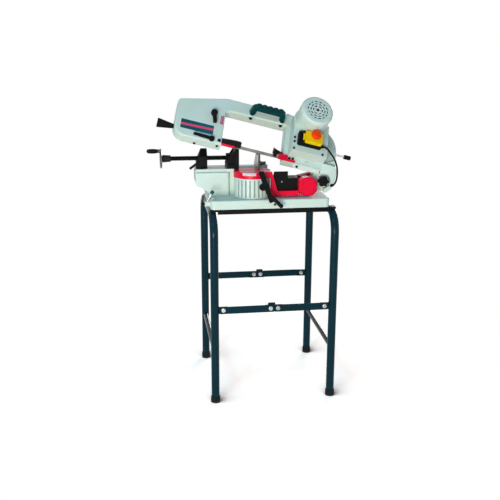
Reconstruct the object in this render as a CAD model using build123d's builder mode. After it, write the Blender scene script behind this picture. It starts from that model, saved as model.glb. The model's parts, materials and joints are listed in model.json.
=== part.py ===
from build123d import *
import os
from math import acos, atan2, cos, degrees, hypot, pi, radians, sin, sqrt, tan

os.makedirs("parts", exist_ok=True)

# Driving dimensions in millimetres. X runs to the right, Y away from the operator and Z up,
# with the origin on the floor in the middle of the four feet.

# Tubular stand
stand_width = 490.0
stand_depth = 470.0
tube_od = 33.7
tube_wall = 2.6
bend_radius = 80.0
tie_od = 22.0
tie_height = 222.0
foot_floor = 6.0
foot_wall = 2.4
foot_height = 26.0
rail_top = 814.0
rail_overhang = 11.0
rail_thick = 3.0
rail_flange = 35.0
rail_drop = 20.0
rail_bolt_inset = 6.5
brace_top = 420.0
brace_tall = 30.0
bar_thick = 4.0
tab_reach = 36.0
splice_length = 76.0
bolt_r = 4.0
bolt_play = 0.2
nut_high = 6.0
blind_depth = 24.0

# Base casting
tray_left = -253.0
tray_right = 230.0
tray_front = -199.0
tray_back = 118.0
tray_height = 36.0
tray_wall = 6.0
tray_corner = 18.0
rail_setback = 3.0
bed_height = 957.0
bed_left = -303.0
bed_front = -75.0
bed_back = 30.0
proud_right = -165.0
proud_out = 13.0
proud_drop = 13.0
proud_corner = 10.0
drum_r = 73.0
rib_count = 9

# Swivel
swivel_x = -75.0
cut_y = -105.0
disc_r = 75.0
disc_thick = 26.0
bed_step = 1.0
swivel_pin_r = 12.0
swivel_limit = 45.0
carrier_half = 32.0
swing_gap = 3.0
run_gap = 0.05
body_gap = 0.3

# Vise
vise_y = -22.0
screw_height = 39.0
screw_r = 10.0
tip_r = 7.0
fixed_face_x = -48.0
jaw_gap = 76.0
jaw_height = 80.0
jaw_plate = 16.0
key_width = 10.0
handwheel_x = -440.0
handwheel_r = 36.0
rim_r = 4.5
nut_left = -296.0
nut_right = -251.0

# Arm hinge and bow
pivot_x = 212.0
pivot_z = 910.0
pivot_pin_r = 12.0
lug_r = 45.0
lug_front = 16.0
boss_front = 38.0
boss_r = 48.0
boss_high = 70.0
boss_start = radians(-68)
tail_front = 30.0
lug_back = -26.0
rest_tilt = 14.5
bow_lean = 40.0
blade_rise = 49.0
wheel_d = 156.0
wheel_width = 20.0
blade_length = 1440.0
blade_width = 13.0
blade_thick = 0.65
blade_lift = 0.3
drive_s = -65.0
bow_back = -14.0
bow_front = 30.0
bow_wall = 6.0
bow_bottom = -26.0
beam_under = 16.0
beam_over = 44.0
beam_edge = 6.0
throat_corner = 18.0
throat_right = -186.0
throat_room = 19.0
idler_room = 22.0
cover_thick = 2.0

# Drive
gear_module = 1.5
pressure = radians(25)
tooth_play = 0.3
rotor_teeth = 13
lay_gear_teeth = 47
lay_pinion_teeth = 14
drive_teeth = 46
motor_s = -100.0
motor_rise = 66.0
motor_r = 66.0
box_front = 82.0
motor_back = 88.0
motor_front = 150.0

tube_line = rail_top - rail_thick - tube_od / 2 - run_gap
tray_top = rail_top + tray_height
screw_z = bed_height + screw_height
disc_top = bed_height - bed_step
disc_low = disc_top - disc_thick
front_rail_y = tray_front + rail_setback
rear_rail_y = tray_back - rail_setback
rail_length = stand_width + 2 * rail_overhang
brace_mid = brace_top - brace_tall / 2
jaw_face_x = fixed_face_x - jaw_gap
wheel_r = wheel_d / 2
band_r = wheel_r + blade_lift
wheel_spacing = (blade_length - 2 * pi * (band_r + blade_thick / 2)) / 2
idler_s = drive_s - wheel_spacing
idler_left = idler_s - wheel_r - idler_room
throat_left = idler_s + wheel_r + throat_room
beam_left = throat_left + throat_corner
beam_low = wheel_d - beam_under
bow_top = wheel_d + beam_over
motor_h = wheel_r + motor_rise
tilt = radians(rest_tilt)
lean = radians(bow_lean)

# ARM: x along the blade towards the hinge, y square to it upwards, z to the operator,
# with its origin on the hinge axis in the cutting plane.
# BOW: the same x, y up the leaning bow, z out of its front, with its origin on the blade.
ARM = Plane(origin=(pivot_x, cut_y, pivot_z), x_dir=(cos(tilt), 0, -sin(tilt)), z_dir=(0, -1, 0))
BOW = Plane(
    origin=ARM.from_local_coords((0, blade_rise, 0)),
    x_dir=ARM.x_dir,
    z_dir=ARM.y_dir * sin(lean) + ARM.z_dir * cos(lean),
)


def front_plane(y):
    """A plane seen from the operator's side: x is X, y is Z."""
    return Plane(origin=(0, y, 0), x_dir=(1, 0, 0), z_dir=(0, -1, 0))


def side_plane(x):
    """A plane seen from the right: x is Y, y is Z."""
    return Plane(origin=(x, 0, 0), x_dir=(0, 1, 0), z_dir=(1, 0, 0))


def hex_bolt(head_plane, reach, size=bolt_r, nut_at=None):
    """A hexagon bolt whose head stands on a plane and whose shank runs below it."""
    with BuildPart() as bolt:
        with BuildSketch(head_plane):
            RegularPolygon(size * 1.85, 6)
        extrude(amount=size * 1.3)
        with BuildSketch(head_plane):
            Circle(size)
        extrude(amount=-reach)
        if nut_at is not None:
            with BuildSketch(head_plane.offset(-nut_at)):
                RegularPolygon(size * 1.85, 6)
            extrude(amount=-size * 1.5)
    return bolt.part


# Leg frames: a tube bent to an upside-down U, with a welded tie and brace tabs
tab_bolt_x = stand_width / 2 - tube_od / 2 - tab_reach / 2


def leg_frame(x):
    inward = -1 if x > 0 else 1
    foot = Plane(origin=(x, -stand_depth / 2, foot_floor))
    with BuildPart() as frame:
        with BuildLine() as bend:
            FilletPolyline(
                (x, -stand_depth / 2, foot_floor),
                (x, -stand_depth / 2, tube_line),
                (x, stand_depth / 2, tube_line),
                (x, stand_depth / 2, foot_floor),
                radius=bend_radius,
            )
        with BuildSketch(foot):
            Circle(tube_od / 2)
        sweep()
        with BuildSketch(Plane(origin=(x, -stand_depth / 2, tie_height), z_dir=(0, 1, 0))):
            Circle(tie_od / 2)
        extrude(amount=stand_depth)
        with Locations((x + inward * (tube_od / 2 + tab_reach / 2 - tube_wall), 0, brace_mid)):
            with GridLocations(1, stand_depth, 1, 2):
                Box(tab_reach + 2 * tube_wall, bar_thick, brace_tall)
        with BuildSketch(foot):
            Circle(tube_od / 2 - tube_wall)
        sweep(path=bend.line, mode=Mode.SUBTRACT)
        with Locations(Plane(origin=(-inward * tab_bolt_x, 0, brace_mid), z_dir=(0, 1, 0))):
            Cylinder(bolt_r + bolt_play, stand_depth + tube_od, mode=Mode.SUBTRACT)
        upwards = (Align.CENTER, Align.CENTER, Align.MIN)
        with Locations(*rail_bolt_points(x)):
            Cylinder(bolt_r + bolt_play, tube_od, align=upwards, mode=Mode.SUBTRACT)
    return frame.part


def rail_bolt_points(x):
    """Bolts through both rails into one leg frame's top tube."""
    bolt_x = x - rail_bolt_inset if x > 0 else x + rail_bolt_inset
    return [
        (bolt_x, front_rail_y + rail_flange * 0.72, tube_line),
        (bolt_x, rear_rail_y - rail_flange * 0.72, tube_line),
    ]


for side, leg_x in (("left", -stand_width / 2), ("right", stand_width / 2)):
    leg = leg_frame(leg_x)
    leg.label = f"{side}_leg_frame"
    export_step(leg, f"parts/{side}_leg_frame.step")

# Rubber feet: cups over the tube ends
with BuildPart() as rubber_feet:
    with BuildSketch():
        with GridLocations(stand_width, stand_depth, 2, 2):
            Circle(tube_od / 2 + foot_wall)
    extrude(amount=foot_height)
    chamfer(rubber_feet.edges().group_by(Axis.Z)[0], 1.2)
    with BuildSketch(Plane.XY.offset(foot_floor)):
        with GridLocations(stand_width, stand_depth, 2, 2):
            Circle(tube_od / 2 + run_gap)
    extrude(amount=foot_height, mode=Mode.SUBTRACT)
rubber_feet.part.label = "rubber_feet"
export_step(rubber_feet.part, "parts/rubber_feet.step")

# Rails: two steel angles bolted across the leg frames
with BuildPart() as stand_rails:
    with BuildSketch(side_plane(-rail_length / 2)):
        for face_y, inward in ((front_rail_y, 1), (rear_rail_y, -1)):
            with BuildLine():
                Polyline(
                    (face_y, rail_top - rail_drop),
                    (face_y, rail_top),
                    (face_y + inward * rail_flange, rail_top),
                    (face_y + inward * rail_flange, rail_top - rail_thick),
                    (face_y + inward * rail_thick, rail_top - rail_thick),
                    (face_y + inward * rail_thick, rail_top - rail_drop),
                    close=True,
                )
            make_face()
    extrude(amount=rail_length)
    off_centre = front_rail_y + rail_thick + stand_depth / 2 - bend_radius
    front_notch = tube_line - bend_radius + sqrt((bend_radius + tube_od / 2) ** 2 - off_centre**2) + 1
    for notch_y, notch_top in ((front_rail_y, front_notch), (rear_rail_y, rail_top - rail_thick)):
        with Locations((0, notch_y, notch_top - rail_drop)):
            with GridLocations(stand_width, 1, 2, 1):
                Box(tube_od + 6, 2 * rail_thick + 1, 2 * rail_drop, mode=Mode.SUBTRACT)
    for leg_x in (-stand_width / 2, stand_width / 2):
        with Locations(*rail_bolt_points(leg_x)):
            Cylinder(bolt_r + bolt_play, tube_od * 2.4, mode=Mode.SUBTRACT)
    base_bolt_points = [
        (tray_left + 38, front_rail_y + rail_flange / 2),
        (tray_right - 38, front_rail_y + rail_flange / 2),
        (tray_left + 38, rear_rail_y - rail_flange / 2),
        (tray_right - 38, rear_rail_y - rail_flange / 2),
    ]
    with Locations(*[(x, y, rail_top) for x, y in base_bolt_points]):
        Cylinder(bolt_r + bolt_play, rail_drop, mode=Mode.SUBTRACT)
stand_rails.part.label = "stand_rails"
export_step(stand_rails.part, "parts/stand_rails.step")

# Cross braces: two flat bars each, front and rear
brace_end = stand_width / 2 - tube_od / 2 - tube_wall
brace_bolts = (-tab_bolt_x, -splice_length / 5, splice_length / 5, tab_bolt_x)
bar_offset = stand_depth / 2 + bar_thick
for name, side in (("front_brace", -1), ("rear_brace", 1)):
    with BuildPart() as brace:
        for x_start, x_end in ((-brace_end, -1), (1, brace_end)):
            with BuildSketch(front_plane(side * bar_offset + bar_thick / 2)):
                with Locations(((x_start + x_end) / 2, brace_mid)):
                    RectangleRounded(x_end - x_start, brace_tall, 4)
            extrude(amount=bar_thick)
        for bolt_x in brace_bolts:
            with Locations(Plane(origin=(bolt_x, side * bar_offset, brace_mid), z_dir=(0, 1, 0))):
                Cylinder(bolt_r + bolt_play, 6 * bar_thick, mode=Mode.SUBTRACT)
    brace.part.label = name
    export_step(brace.part, f"parts/{name}.step")

# Splice plates: join the bars, each with a stop lip on top
with BuildPart() as brace_splices:
    for side in (-1, 1):
        with BuildSketch(front_plane(side * stand_depth / 2 + bar_thick / 2)):
            with Locations((0, brace_mid)):
                RectangleRounded(splice_length, brace_tall, 4)
            with Locations((side * splice_length / 7, brace_top)):
                RectangleRounded(splice_length * 0.4, brace_tall * 0.6, 4)
        extrude(amount=bar_thick)
        for bolt_x in brace_bolts:
            with Locations(Plane(origin=(bolt_x, side * bar_offset, brace_mid), z_dir=(0, 1, 0))):
                Cylinder(bolt_r + bolt_play, 6 * bar_thick, mode=Mode.SUBTRACT)
brace_splices.part.label = "brace_splices"
export_step(brace_splices.part, "parts/brace_splices.step")

# Stand bolts: through the braces, down through the rails into nuts in the tubes, and up through
# the rails into the base
with BuildPart() as stand_bolts:
    for side in (-1, 1):
        head_y = side * (bar_offset + bar_thick / 2)
        for bolt_x in brace_bolts:
            spot = Plane(origin=(bolt_x, head_y, brace_mid), z_dir=(0, side, 0))
            add(hex_bolt(spot, 5 * bar_thick, nut_at=2 * bar_thick))
    for leg_x in (-stand_width / 2, stand_width / 2):
        for x, y, _ in rail_bolt_points(leg_x):
            spot = Plane(origin=(x, y, rail_top))
            below = rail_thick + (tube_od - nut_high) / 2
            with BuildSketch(spot):
                Circle(bolt_r * 1.7)
            extrude(amount=3)
            with BuildSketch(spot):
                Circle(bolt_r)
            extrude(amount=-below - 10)
            with BuildSketch(spot.offset(-below)):
                RegularPolygon(bolt_r * 1.85, 6, rotation=30)
            extrude(amount=-nut_high)
    for x, y in base_bolt_points:
        spot = Plane(origin=(x, y, rail_top - rail_thick), z_dir=(0, 0, -1))
        add(hex_bolt(spot, rail_thick + blind_depth - 2))
stand_bolts.part.label = "stand_bolts"
export_step(stand_bolts.part, "parts/stand_bolts.step")

# Base casting: tray, pedestal with the vise bed, ribbed drum under the swivel disc
swing = radians(swivel_limit)


def clear_of_carrier(y):
    """The bed's right edge at a depth, clear of the carrier swung to its limit."""
    return swivel_x + (y - cut_y) / tan(swing) - (carrier_half + swing_gap) / sin(swing)


lock_x = -45.0
lock_z = 902.0
lock_out = 95.0
lock_tip = radians(15)
LOCK = Plane(
    origin=(lock_x, cut_y - lock_out, lock_z), x_dir=(1, 0, 0), z_dir=(0, -cos(lock_tip), sin(lock_tip))
)
lock_stud_r = 6.0
tray_mid = ((tray_left + tray_right) / 2, (tray_front + tray_back) / 2)
tray_size = (tray_right - tray_left, tray_back - tray_front)

with BuildPart() as base_casting:
    with BuildSketch(Plane.XY.offset(rail_top)):
        with Locations(tray_mid):
            RectangleRounded(*tray_size, tray_corner)
    extrude(amount=tray_height)
    fillet(base_casting.edges().group_by(Axis.Z)[-1], 5)
    with BuildSketch(front_plane(bed_back)):
        with BuildLine():
            right_x = clear_of_carrier(bed_back)
            Polyline(
                (bed_left, bed_height - 50),
                (bed_left, bed_height),
                (right_x, bed_height),
                (right_x, tray_top - 2),
                (tray_left + 4, tray_top - 2),
            )
            Spline(
                (tray_left + 4, tray_top - 2),
                (bed_left + 28, bed_height - 76),
                (bed_left, bed_height - 50),
                tangents=((-0.2, 1), (0, 1)),
            )
        make_face()
    extrude(amount=bed_back - bed_front + proud_out)
    with BuildSketch(Plane.XY.offset(tray_top)):
        with Locations((proud_right, bed_front - proud_out - 1)):
            Rectangle(right_x - proud_right + 1, proud_out + 1, align=(Align.MIN, Align.MIN))
    extrude(amount=bed_height - tray_top, mode=Mode.SUBTRACT)
    with BuildSketch(Plane.XY.offset(bed_height - proud_drop)):
        with Locations((bed_left - 1, bed_front - proud_out - 1)):
            Rectangle(right_x - bed_left + 2, proud_out + 1, align=(Align.MIN, Align.MIN))
    extrude(amount=proud_drop, mode=Mode.SUBTRACT)
    proud_edges = base_casting.edges().filter_by(Axis.Z).filter_by_position(
        Axis.X, proud_right - 0.1, proud_right + 0.1
    )
    fillet(proud_edges.sort_by(Axis.Y)[0], proud_corner)
    with BuildSketch(Plane.XY.offset(tray_top)):
        with BuildLine():
            Polyline(
                (clear_of_carrier(bed_front - 1), bed_front - 1),
                (clear_of_carrier(bed_back + 1), bed_back + 1),
                (clear_of_carrier(bed_back + 1), bed_front - 1),
                close=True,
            )
        make_face()
    extrude(amount=bed_height - tray_top, mode=Mode.SUBTRACT)
    with BuildSketch(Plane.XY.offset(tray_top - 2)):
        with Locations((swivel_x, cut_y)):
            Circle(drum_r)
    extrude(amount=disc_low - 0.5 - tray_top + 2)
    with BuildSketch(Plane.XY.offset(disc_low - 0.5)):
        with Locations((swivel_x, cut_y)):
            Circle(disc_r + 1)
    extrude(amount=disc_thick + 4, mode=Mode.SUBTRACT)
    rib_low = tray_top + 5
    rib_high = disc_low - 6
    with Locations((swivel_x, cut_y, (rib_low + rib_high) / 2)):
        with PolarLocations(drum_r, rib_count, start_angle=214, angular_range=112, endpoint=True):
            Box(8, 6, rib_high - rib_low, mode=Mode.SUBTRACT)
    with BuildSketch(Plane.XY.offset(rail_top)):
        with Locations(tray_mid):
            RectangleRounded(
                tray_size[0] - 2 * tray_wall, tray_size[1] - 2 * tray_wall, tray_corner - tray_wall
            )
        with Locations(*base_bolt_points):
            Circle(3 * bolt_r, mode=Mode.SUBTRACT)
        with Locations((swivel_x, cut_y)):
            Circle(2 * swivel_pin_r, mode=Mode.SUBTRACT)
    extrude(amount=tray_height - tray_wall, mode=Mode.SUBTRACT)
    with BuildSketch(Plane.XY.offset(tray_top - tray_wall)):
        with Locations((swivel_x, cut_y)):
            Circle(drum_r - 3 * tray_wall)
            Circle(2 * swivel_pin_r, mode=Mode.SUBTRACT)
    extrude(amount=disc_low - 20 - tray_top + tray_wall, mode=Mode.SUBTRACT)
    with BuildSketch(Plane.XY.offset(tray_top - tray_wall)):
        with Locations((-185, (bed_front + bed_back) / 2)):
            Rectangle(96, bed_back - bed_front - 4 * tray_wall)
    extrude(amount=bed_height - 22 - tray_top + tray_wall, mode=Mode.SUBTRACT)
    with Locations((swivel_x, cut_y, disc_low)):
        Cylinder(swivel_pin_r + run_gap, 100, mode=Mode.SUBTRACT)
    slot_end = fixed_face_x + 4
    with Locations(((bed_left + slot_end) / 2, vise_y, bed_height)):
        Box(slot_end - bed_left + 2, key_width + 2 * body_gap, 18, mode=Mode.SUBTRACT)
    with Locations(*[(x, y, rail_top) for x, y in base_bolt_points]):
        Cylinder(bolt_r + bolt_play, 2 * blind_depth, mode=Mode.SUBTRACT)
    with Locations(LOCK.offset(-lock_out / 3)):
        Cylinder(lock_stud_r + run_gap, lock_out / 3, mode=Mode.SUBTRACT)
base_casting.part.label = "base_casting"
export_step(base_casting.part, "parts/base_casting.step")

# Swivel pin: stands in the drum, and the disc turns on it
pin_top = disc_low + disc_thick * 0.4
with BuildPart() as swivel_pin:
    with BuildSketch(Plane.XY.offset(disc_low - 48)):
        with Locations((swivel_x, cut_y)):
            Circle(swivel_pin_r)
    extrude(amount=pin_top - disc_low + 48)
swivel_pin.part.label = "swivel_pin"
export_step(swivel_pin.part, "parts/swivel_pin.step")

# Lock stud and lever: clamp the swivel from the front
lever_thick = 10.0
with BuildPart() as lock_stud:
    with BuildSketch(LOCK.offset(-lock_out / 3)):
        Circle(lock_stud_r)
    extrude(amount=lock_out / 3 + lever_thick + 2)
lock_stud.part.label = "lock_stud"
export_step(lock_stud.part, "parts/lock_stud.step")

with BuildPart() as lock_lever:
    with BuildSketch(LOCK):
        with BuildLine():
            Polyline((-14, 50), (-14, 62), (4, 62), (40, -52), (40, -60), (26, -66), close=True)
        make_face()
        Circle(15)
        fillet(vertices(), 3)
    extrude(amount=lever_thick)
    grip_axis = Plane(
        origin=LOCK.from_local_coords((27, -36, lever_thick + 4)),
        x_dir=LOCK.z_dir,
        z_dir=LOCK.x_dir * 0.7 - LOCK.y_dir * 0.71,
    )
    with BuildSketch(grip_axis):
        Circle(8)
    extrude(amount=66)
    chamfer(lock_lever.faces().sort_by(Axis((0, 0, 0), tuple(grip_axis.z_dir)))[-1].edges(), 3)
    with Locations(LOCK):
        Cylinder(lock_stud_r + run_gap, 60, mode=Mode.SUBTRACT)
lock_lever.part.label = "lock_lever"
export_step(lock_lever.part, "parts/lock_lever.step")

# Fixed jaw: cut back in plan and sloped behind, so that the lowered arm passes at the swivel limit
stop_jaw_height = 54.0
jaw_slope = 50.0
jaw_thin = 5.0
jaw_toe = 12.0
with BuildPart() as fixed_jaw:
    with BuildSketch(front_plane(bed_back)):
        with BuildLine():
            Polyline(
                (fixed_face_x, bed_height),
                (fixed_face_x, bed_height + stop_jaw_height),
                (fixed_face_x + jaw_plate, bed_height + stop_jaw_height),
                (fixed_face_x + 3.2 * jaw_plate, bed_height + 22),
                (fixed_face_x + 3.2 * jaw_plate, bed_height),
                close=True,
            )
        make_face()
    extrude(amount=bed_back - bed_front)
    with BuildSketch(Plane.XY.offset(bed_height)):
        with BuildLine():
            Polyline(
                (fixed_face_x, bed_front),
                (fixed_face_x + jaw_plate / 2, bed_front + 35),
                (fixed_face_x + 1.25 * jaw_plate, bed_front + 57),
                (fixed_face_x + jaw_thin, bed_front + 62),
                (fixed_face_x + jaw_thin, bed_back),
                (fixed_face_x, bed_back),
                close=True,
            )
        make_face()
    extrude(amount=stop_jaw_height, mode=Mode.INTERSECT)
    with BuildSketch(side_plane(fixed_face_x)):
        with BuildLine():
            Polyline(
                (bed_front, bed_height),
                (bed_front, bed_height + stop_jaw_height),
                (bed_back - jaw_slope, bed_height + stop_jaw_height),
                (bed_back, bed_height + 6),
                (bed_back, bed_height),
                close=True,
            )
        make_face()
    extrude(amount=4 * jaw_plate, mode=Mode.INTERSECT)
    with BuildSketch(Plane.XY.offset(bed_height)):
        with BuildLine():
            Polyline(
                (fixed_face_x, bed_front),
                (fixed_face_x + jaw_plate / 2, bed_front + 35),
                (fixed_face_x + 1.25 * jaw_plate, bed_front + 60),
                (fixed_face_x + 3.2 * jaw_plate, bed_back),
                (fixed_face_x, bed_back),
                close=True,
            )
        make_face()
    extrude(amount=jaw_toe)
fixed_jaw.part.label = "fixed_jaw"
export_step(fixed_jaw.part, "parts/fixed_jaw.step")

# Moving jaw: plate, foot, two gussets, screw boss and the key that slides in the bed
jaw_low = bed_height + body_gap
jaw_foot = 48.0
with BuildPart() as moving_jaw:
    with BuildSketch(front_plane(bed_back - 1)):
        with BuildLine():
            Polyline(
                (jaw_face_x, jaw_low),
                (jaw_face_x, bed_height + jaw_height),
                (jaw_face_x - jaw_plate, bed_height + jaw_height),
                (jaw_face_x - jaw_plate, jaw_low + 15),
                (jaw_face_x - jaw_foot, jaw_low + 15),
                (jaw_face_x - jaw_foot, jaw_low),
                close=True,
            )
        make_face()
    extrude(amount=bed_back - bed_front - 2)
    for rib_y in (bed_front + 24, bed_back - 12):
        with BuildSketch(front_plane(rib_y)):
            with BuildLine():
                Polyline(
                    (jaw_face_x - jaw_plate, bed_height + jaw_height - 6),
                    (jaw_face_x - jaw_foot, jaw_low + 24),
                    (jaw_face_x - jaw_foot, jaw_low),
                    (jaw_face_x - jaw_plate, jaw_low),
                    close=True,
                )
            make_face()
        extrude(amount=10)
    with BuildSketch(side_plane(jaw_face_x - jaw_foot)):
        with Locations((vise_y, screw_z)):
            Circle(screw_r * 1.9)
    extrude(amount=jaw_foot - jaw_plate / 2)
    with Locations((jaw_face_x - jaw_foot / 2, vise_y, jaw_low - 4)):
        Box(jaw_foot - 8, key_width, 9)
    with BuildSketch(side_plane(jaw_face_x - jaw_foot)):
        with Locations((vise_y, screw_z)):
            Circle(tip_r + run_gap)
    extrude(amount=25, mode=Mode.SUBTRACT)
moving_jaw.part.label = "moving_jaw"
export_step(moving_jaw.part, "parts/moving_jaw.step")

# Vise screw: turns in the jaw's boss, driven by the handwheel
hub_r = 16.0
hub_length = 40.0
screw_end = jaw_face_x - jaw_foot - body_gap
with BuildPart() as vise_screw:
    with BuildSketch(side_plane(handwheel_x + hub_length)):
        with Locations((vise_y, screw_z)):
            Circle(screw_r)
    extrude(amount=screw_end - handwheel_x - hub_length)
    with BuildSketch(side_plane(screw_end)):
        with Locations((vise_y, screw_z)):
            Circle(tip_r)
    extrude(amount=24)
    with BuildSketch(side_plane(handwheel_x + hub_length)):
        with Locations((vise_y, screw_z)):
            Circle(tip_r)
    extrude(amount=-hub_length)
vise_screw.part.label = "vise_screw"
export_step(vise_screw.part, "parts/vise_screw.step")

# Handwheel: rim, web with three windows, stepped hub and the grip's pin
grip_pin_r = 3.5
grip_length = 46.0
with BuildPart() as handwheel:
    WHEEL = Plane(origin=(handwheel_x, vise_y, screw_z), x_dir=(0, 1, 0), z_dir=(1, 0, 0))
    with BuildSketch(WHEEL.offset(-2)):
        Circle(handwheel_r)
        with PolarLocations(handwheel_r * 0.62, 3, start_angle=30):
            Circle(handwheel_r * 0.22, mode=Mode.SUBTRACT)
    extrude(amount=6)
    with BuildSketch(Plane(origin=WHEEL.origin, x_dir=(0, 0, 1), z_dir=(0, 1, 0))):
        with Locations((handwheel_r, 0)):
            RegularPolygon(rim_r, 8)
    revolve(axis=Axis((handwheel_x, vise_y, screw_z), (1, 0, 0)))
    with BuildSketch(WHEEL):
        Circle(hub_r)
    extrude(amount=hub_length, taper=4)
    with BuildSketch(WHEEL.offset(-9)):
        with Locations((0, handwheel_r * 0.86)):
            Circle(8)
    extrude(amount=10)
    with BuildSketch(WHEEL.offset(-9 - grip_length - 3)):
        with Locations((0, handwheel_r * 0.86)):
            Circle(grip_pin_r)
    extrude(amount=grip_length + 6)
    with Locations(WHEEL):
        Cylinder(tip_r + run_gap, 3 * hub_length, mode=Mode.SUBTRACT)
handwheel.part.label = "handwheel"
export_step(handwheel.part, "parts/handwheel.step")

# Crank grip: spins on the handwheel's pin
GRIP = Plane(
    origin=(handwheel_x - 9 - body_gap, vise_y, screw_z + handwheel_r * 0.86),
    x_dir=(0, 1, 0),
    z_dir=(-1, 0, 0),
)
with BuildPart() as crank_grip:
    with BuildSketch(Plane(origin=GRIP.origin, x_dir=(-1, 0, 0), z_dir=(0, -1, 0))):
        with BuildLine():
            Polyline(
                (0, grip_pin_r + run_gap),
                (0, 7),
                (4, 7.5),
                (18, 9.5),
                (grip_length - 12, 9.3),
                (grip_length - 4, 8.4),
                (grip_length, 6.5),
                (grip_length, grip_pin_r + run_gap),
                close=True,
            )
        make_face()
    revolve(axis=Axis(GRIP.origin, (-1, 0, 0)))
crank_grip.part.label = "crank_grip"
export_step(crank_grip.part, "parts/crank_grip.step")

# Nut housing: bolted to the bed's left end, its front sloped to pass under the bow
nut_depth = (-38.0, 14.0)
half_nut_wide = 26.0
half_nut_long = 24.0
half_nut_room = 6.0
nut_mid = (nut_left + nut_right) / 2
release_pin_r = 3.0
release_reach = 14.0
RELEASE = Plane(
    origin=(nut_left + 4.8, nut_depth[0], bed_height + 20), x_dir=(1, 0, 0), z_dir=(0, -1, 0)
)
with BuildPart() as nut_housing:
    with BuildSketch(side_plane(nut_left)):
        with BuildLine():
            Polyline(
                (nut_depth[0], bed_height),
                (nut_depth[0], screw_z + 7),
                (nut_depth[0] + 26, screw_z + 37),
                (nut_depth[1] - 10, screw_z + 37),
                (nut_depth[1], screw_z + 7),
                (nut_depth[1], bed_height),
                close=True,
            )
        make_face()
    extrude(amount=nut_right - nut_left)
    with BuildSketch(front_plane(nut_depth[1])):
        with BuildLine():
            Polyline(
                (nut_left, bed_height),
                (nut_left, bed_height + 24),
                (nut_left + 20, screw_z + 37),
                (nut_right, screw_z + 37),
                (nut_right, bed_height),
                close=True,
            )
        make_face()
    extrude(amount=nut_depth[1] - nut_depth[0], mode=Mode.INTERSECT)
    with Locations(Plane(origin=(nut_mid, vise_y, screw_z), z_dir=(1, 0, 0))):
        Cylinder(screw_r + body_gap, 90, mode=Mode.SUBTRACT)
    with Locations((nut_mid, vise_y, bed_height)):
        Box(half_nut_long + 2 * body_gap, half_nut_wide + 2 * body_gap, 2 * screw_height, mode=Mode.SUBTRACT)
    with Locations(RELEASE):
        Cylinder(release_pin_r + run_gap, 2 * release_reach + 2, mode=Mode.SUBTRACT)
nut_housing.part.label = "nut_housing"
export_step(nut_housing.part, "parts/nut_housing.step")

# Half nut: drops away from the screw when the release lever turns
with BuildPart() as half_nut:
    with Locations((nut_mid, vise_y, bed_height + (half_nut_room + screw_height) / 2)):
        Box(half_nut_long, half_nut_wide, screw_height - half_nut_room)
    with Locations(Plane(origin=(nut_mid, vise_y, screw_z), z_dir=(1, 0, 0))):
        Cylinder(screw_r + body_gap, 90, mode=Mode.SUBTRACT)
half_nut.part.label = "half_nut"
export_step(half_nut.part, "parts/half_nut.step")

# Release lever: a hub on the nut housing's front face with an arm down to the left
with BuildPart() as release_lever:
    with BuildSketch(RELEASE.offset(body_gap)):
        Circle(7)
    extrude(amount=7)
    with BuildSketch(RELEASE.offset(body_gap)):
        Circle(release_pin_r)
    extrude(amount=-release_reach)
    with BuildSketch(RELEASE.offset(body_gap + 2)):
        with BuildLine():
            Polyline((-2, -4), (-30, -26), (-36, -18), (-4, 5), close=True)
        make_face()
    extrude(amount=5)
release_lever.part.label = "release_lever"
export_step(release_lever.part, "parts/release_lever.step")

# Swivel carrier: slotted disc, slanted strip, low arm and the web with the hinge ear
block_left = 108.0
block_right = 184.0
block_low = tray_top + 6
block_high = 930.0
web_right = pivot_x - lug_r - 9
web_high = 922.0
ear_front = cut_y - lug_back + 1
ear_back = ear_front + 28
carrier_front = cut_y - 58
block_front = cut_y - 60
block_back = cut_y - lug_front - 1.5
arm_high = block_low + 21
strip_thick = 18.0
strip_end = swivel_x + disc_r - 5
arm_left = swivel_x + drum_r + swing_gap
with BuildPart() as swivel_carrier:
    with BuildSketch(Plane.XY.offset(disc_low)):
        with Locations((swivel_x, cut_y)):
            Circle(disc_r)
    extrude(amount=disc_thick)
    with BuildSketch(front_plane(carrier_front + strip_thick)):
        with BuildLine():
            Polyline(
                (swivel_x + 45, disc_low + 1),
                (swivel_x + 45, disc_top),
                (swivel_x + disc_r - 2, disc_top),
                (strip_end + 26, arm_high),
                (strip_end + 26, block_low),
                (strip_end, block_low),
                (swivel_x + disc_r - 7, disc_low - 2),
                (swivel_x + disc_r - 7, disc_low + 1),
                close=True,
            )
        make_face()
    extrude(amount=strip_thick)
    with BuildSketch(Plane.XY.offset(block_low)):
        with Locations(((arm_left + block_left) / 2, (carrier_front + cut_y + carrier_half) / 2)):
            Rectangle(block_left - arm_left, cut_y + carrier_half - carrier_front)
    extrude(amount=arm_high - block_low)
    with BuildSketch(Plane.XY.offset(block_low)):
        with Locations(((block_left + web_right) / 2, (block_back + ear_back) / 2)):
            Rectangle(web_right - block_left, ear_back - block_back)
    extrude(amount=web_high - block_low)
    with BuildSketch(front_plane(ear_back)):
        with BuildLine():
            Polyline(
                (block_left + 8, block_low),
                (block_left + 8, web_high),
                (pivot_x, pivot_z + 36),
                (pivot_x, pivot_z - 36),
                (pivot_x - 40, block_low),
                close=True,
            )
        make_face()
        with Locations((pivot_x, pivot_z)):
            Circle(36)
    extrude(amount=ear_back - ear_front)
    with Locations(Plane(origin=(pivot_x, ear_back, pivot_z), z_dir=(0, 1, 0))):
        Cylinder(pivot_pin_r + run_gap, 90, mode=Mode.SUBTRACT)
    with Locations((swivel_x, cut_y, disc_low)):
        Cylinder(swivel_pin_r + run_gap, 2 * (pin_top - disc_low + body_gap), mode=Mode.SUBTRACT)
    with Locations((swivel_x, cut_y, disc_top)):
        Box(2 * disc_r + 2, 6, 2 * (disc_top - pin_top - 2), mode=Mode.SUBTRACT)
swivel_carrier.part.label = "swivel_carrier"
export_step(swivel_carrier.part, "parts/swivel_carrier.step")

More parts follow.
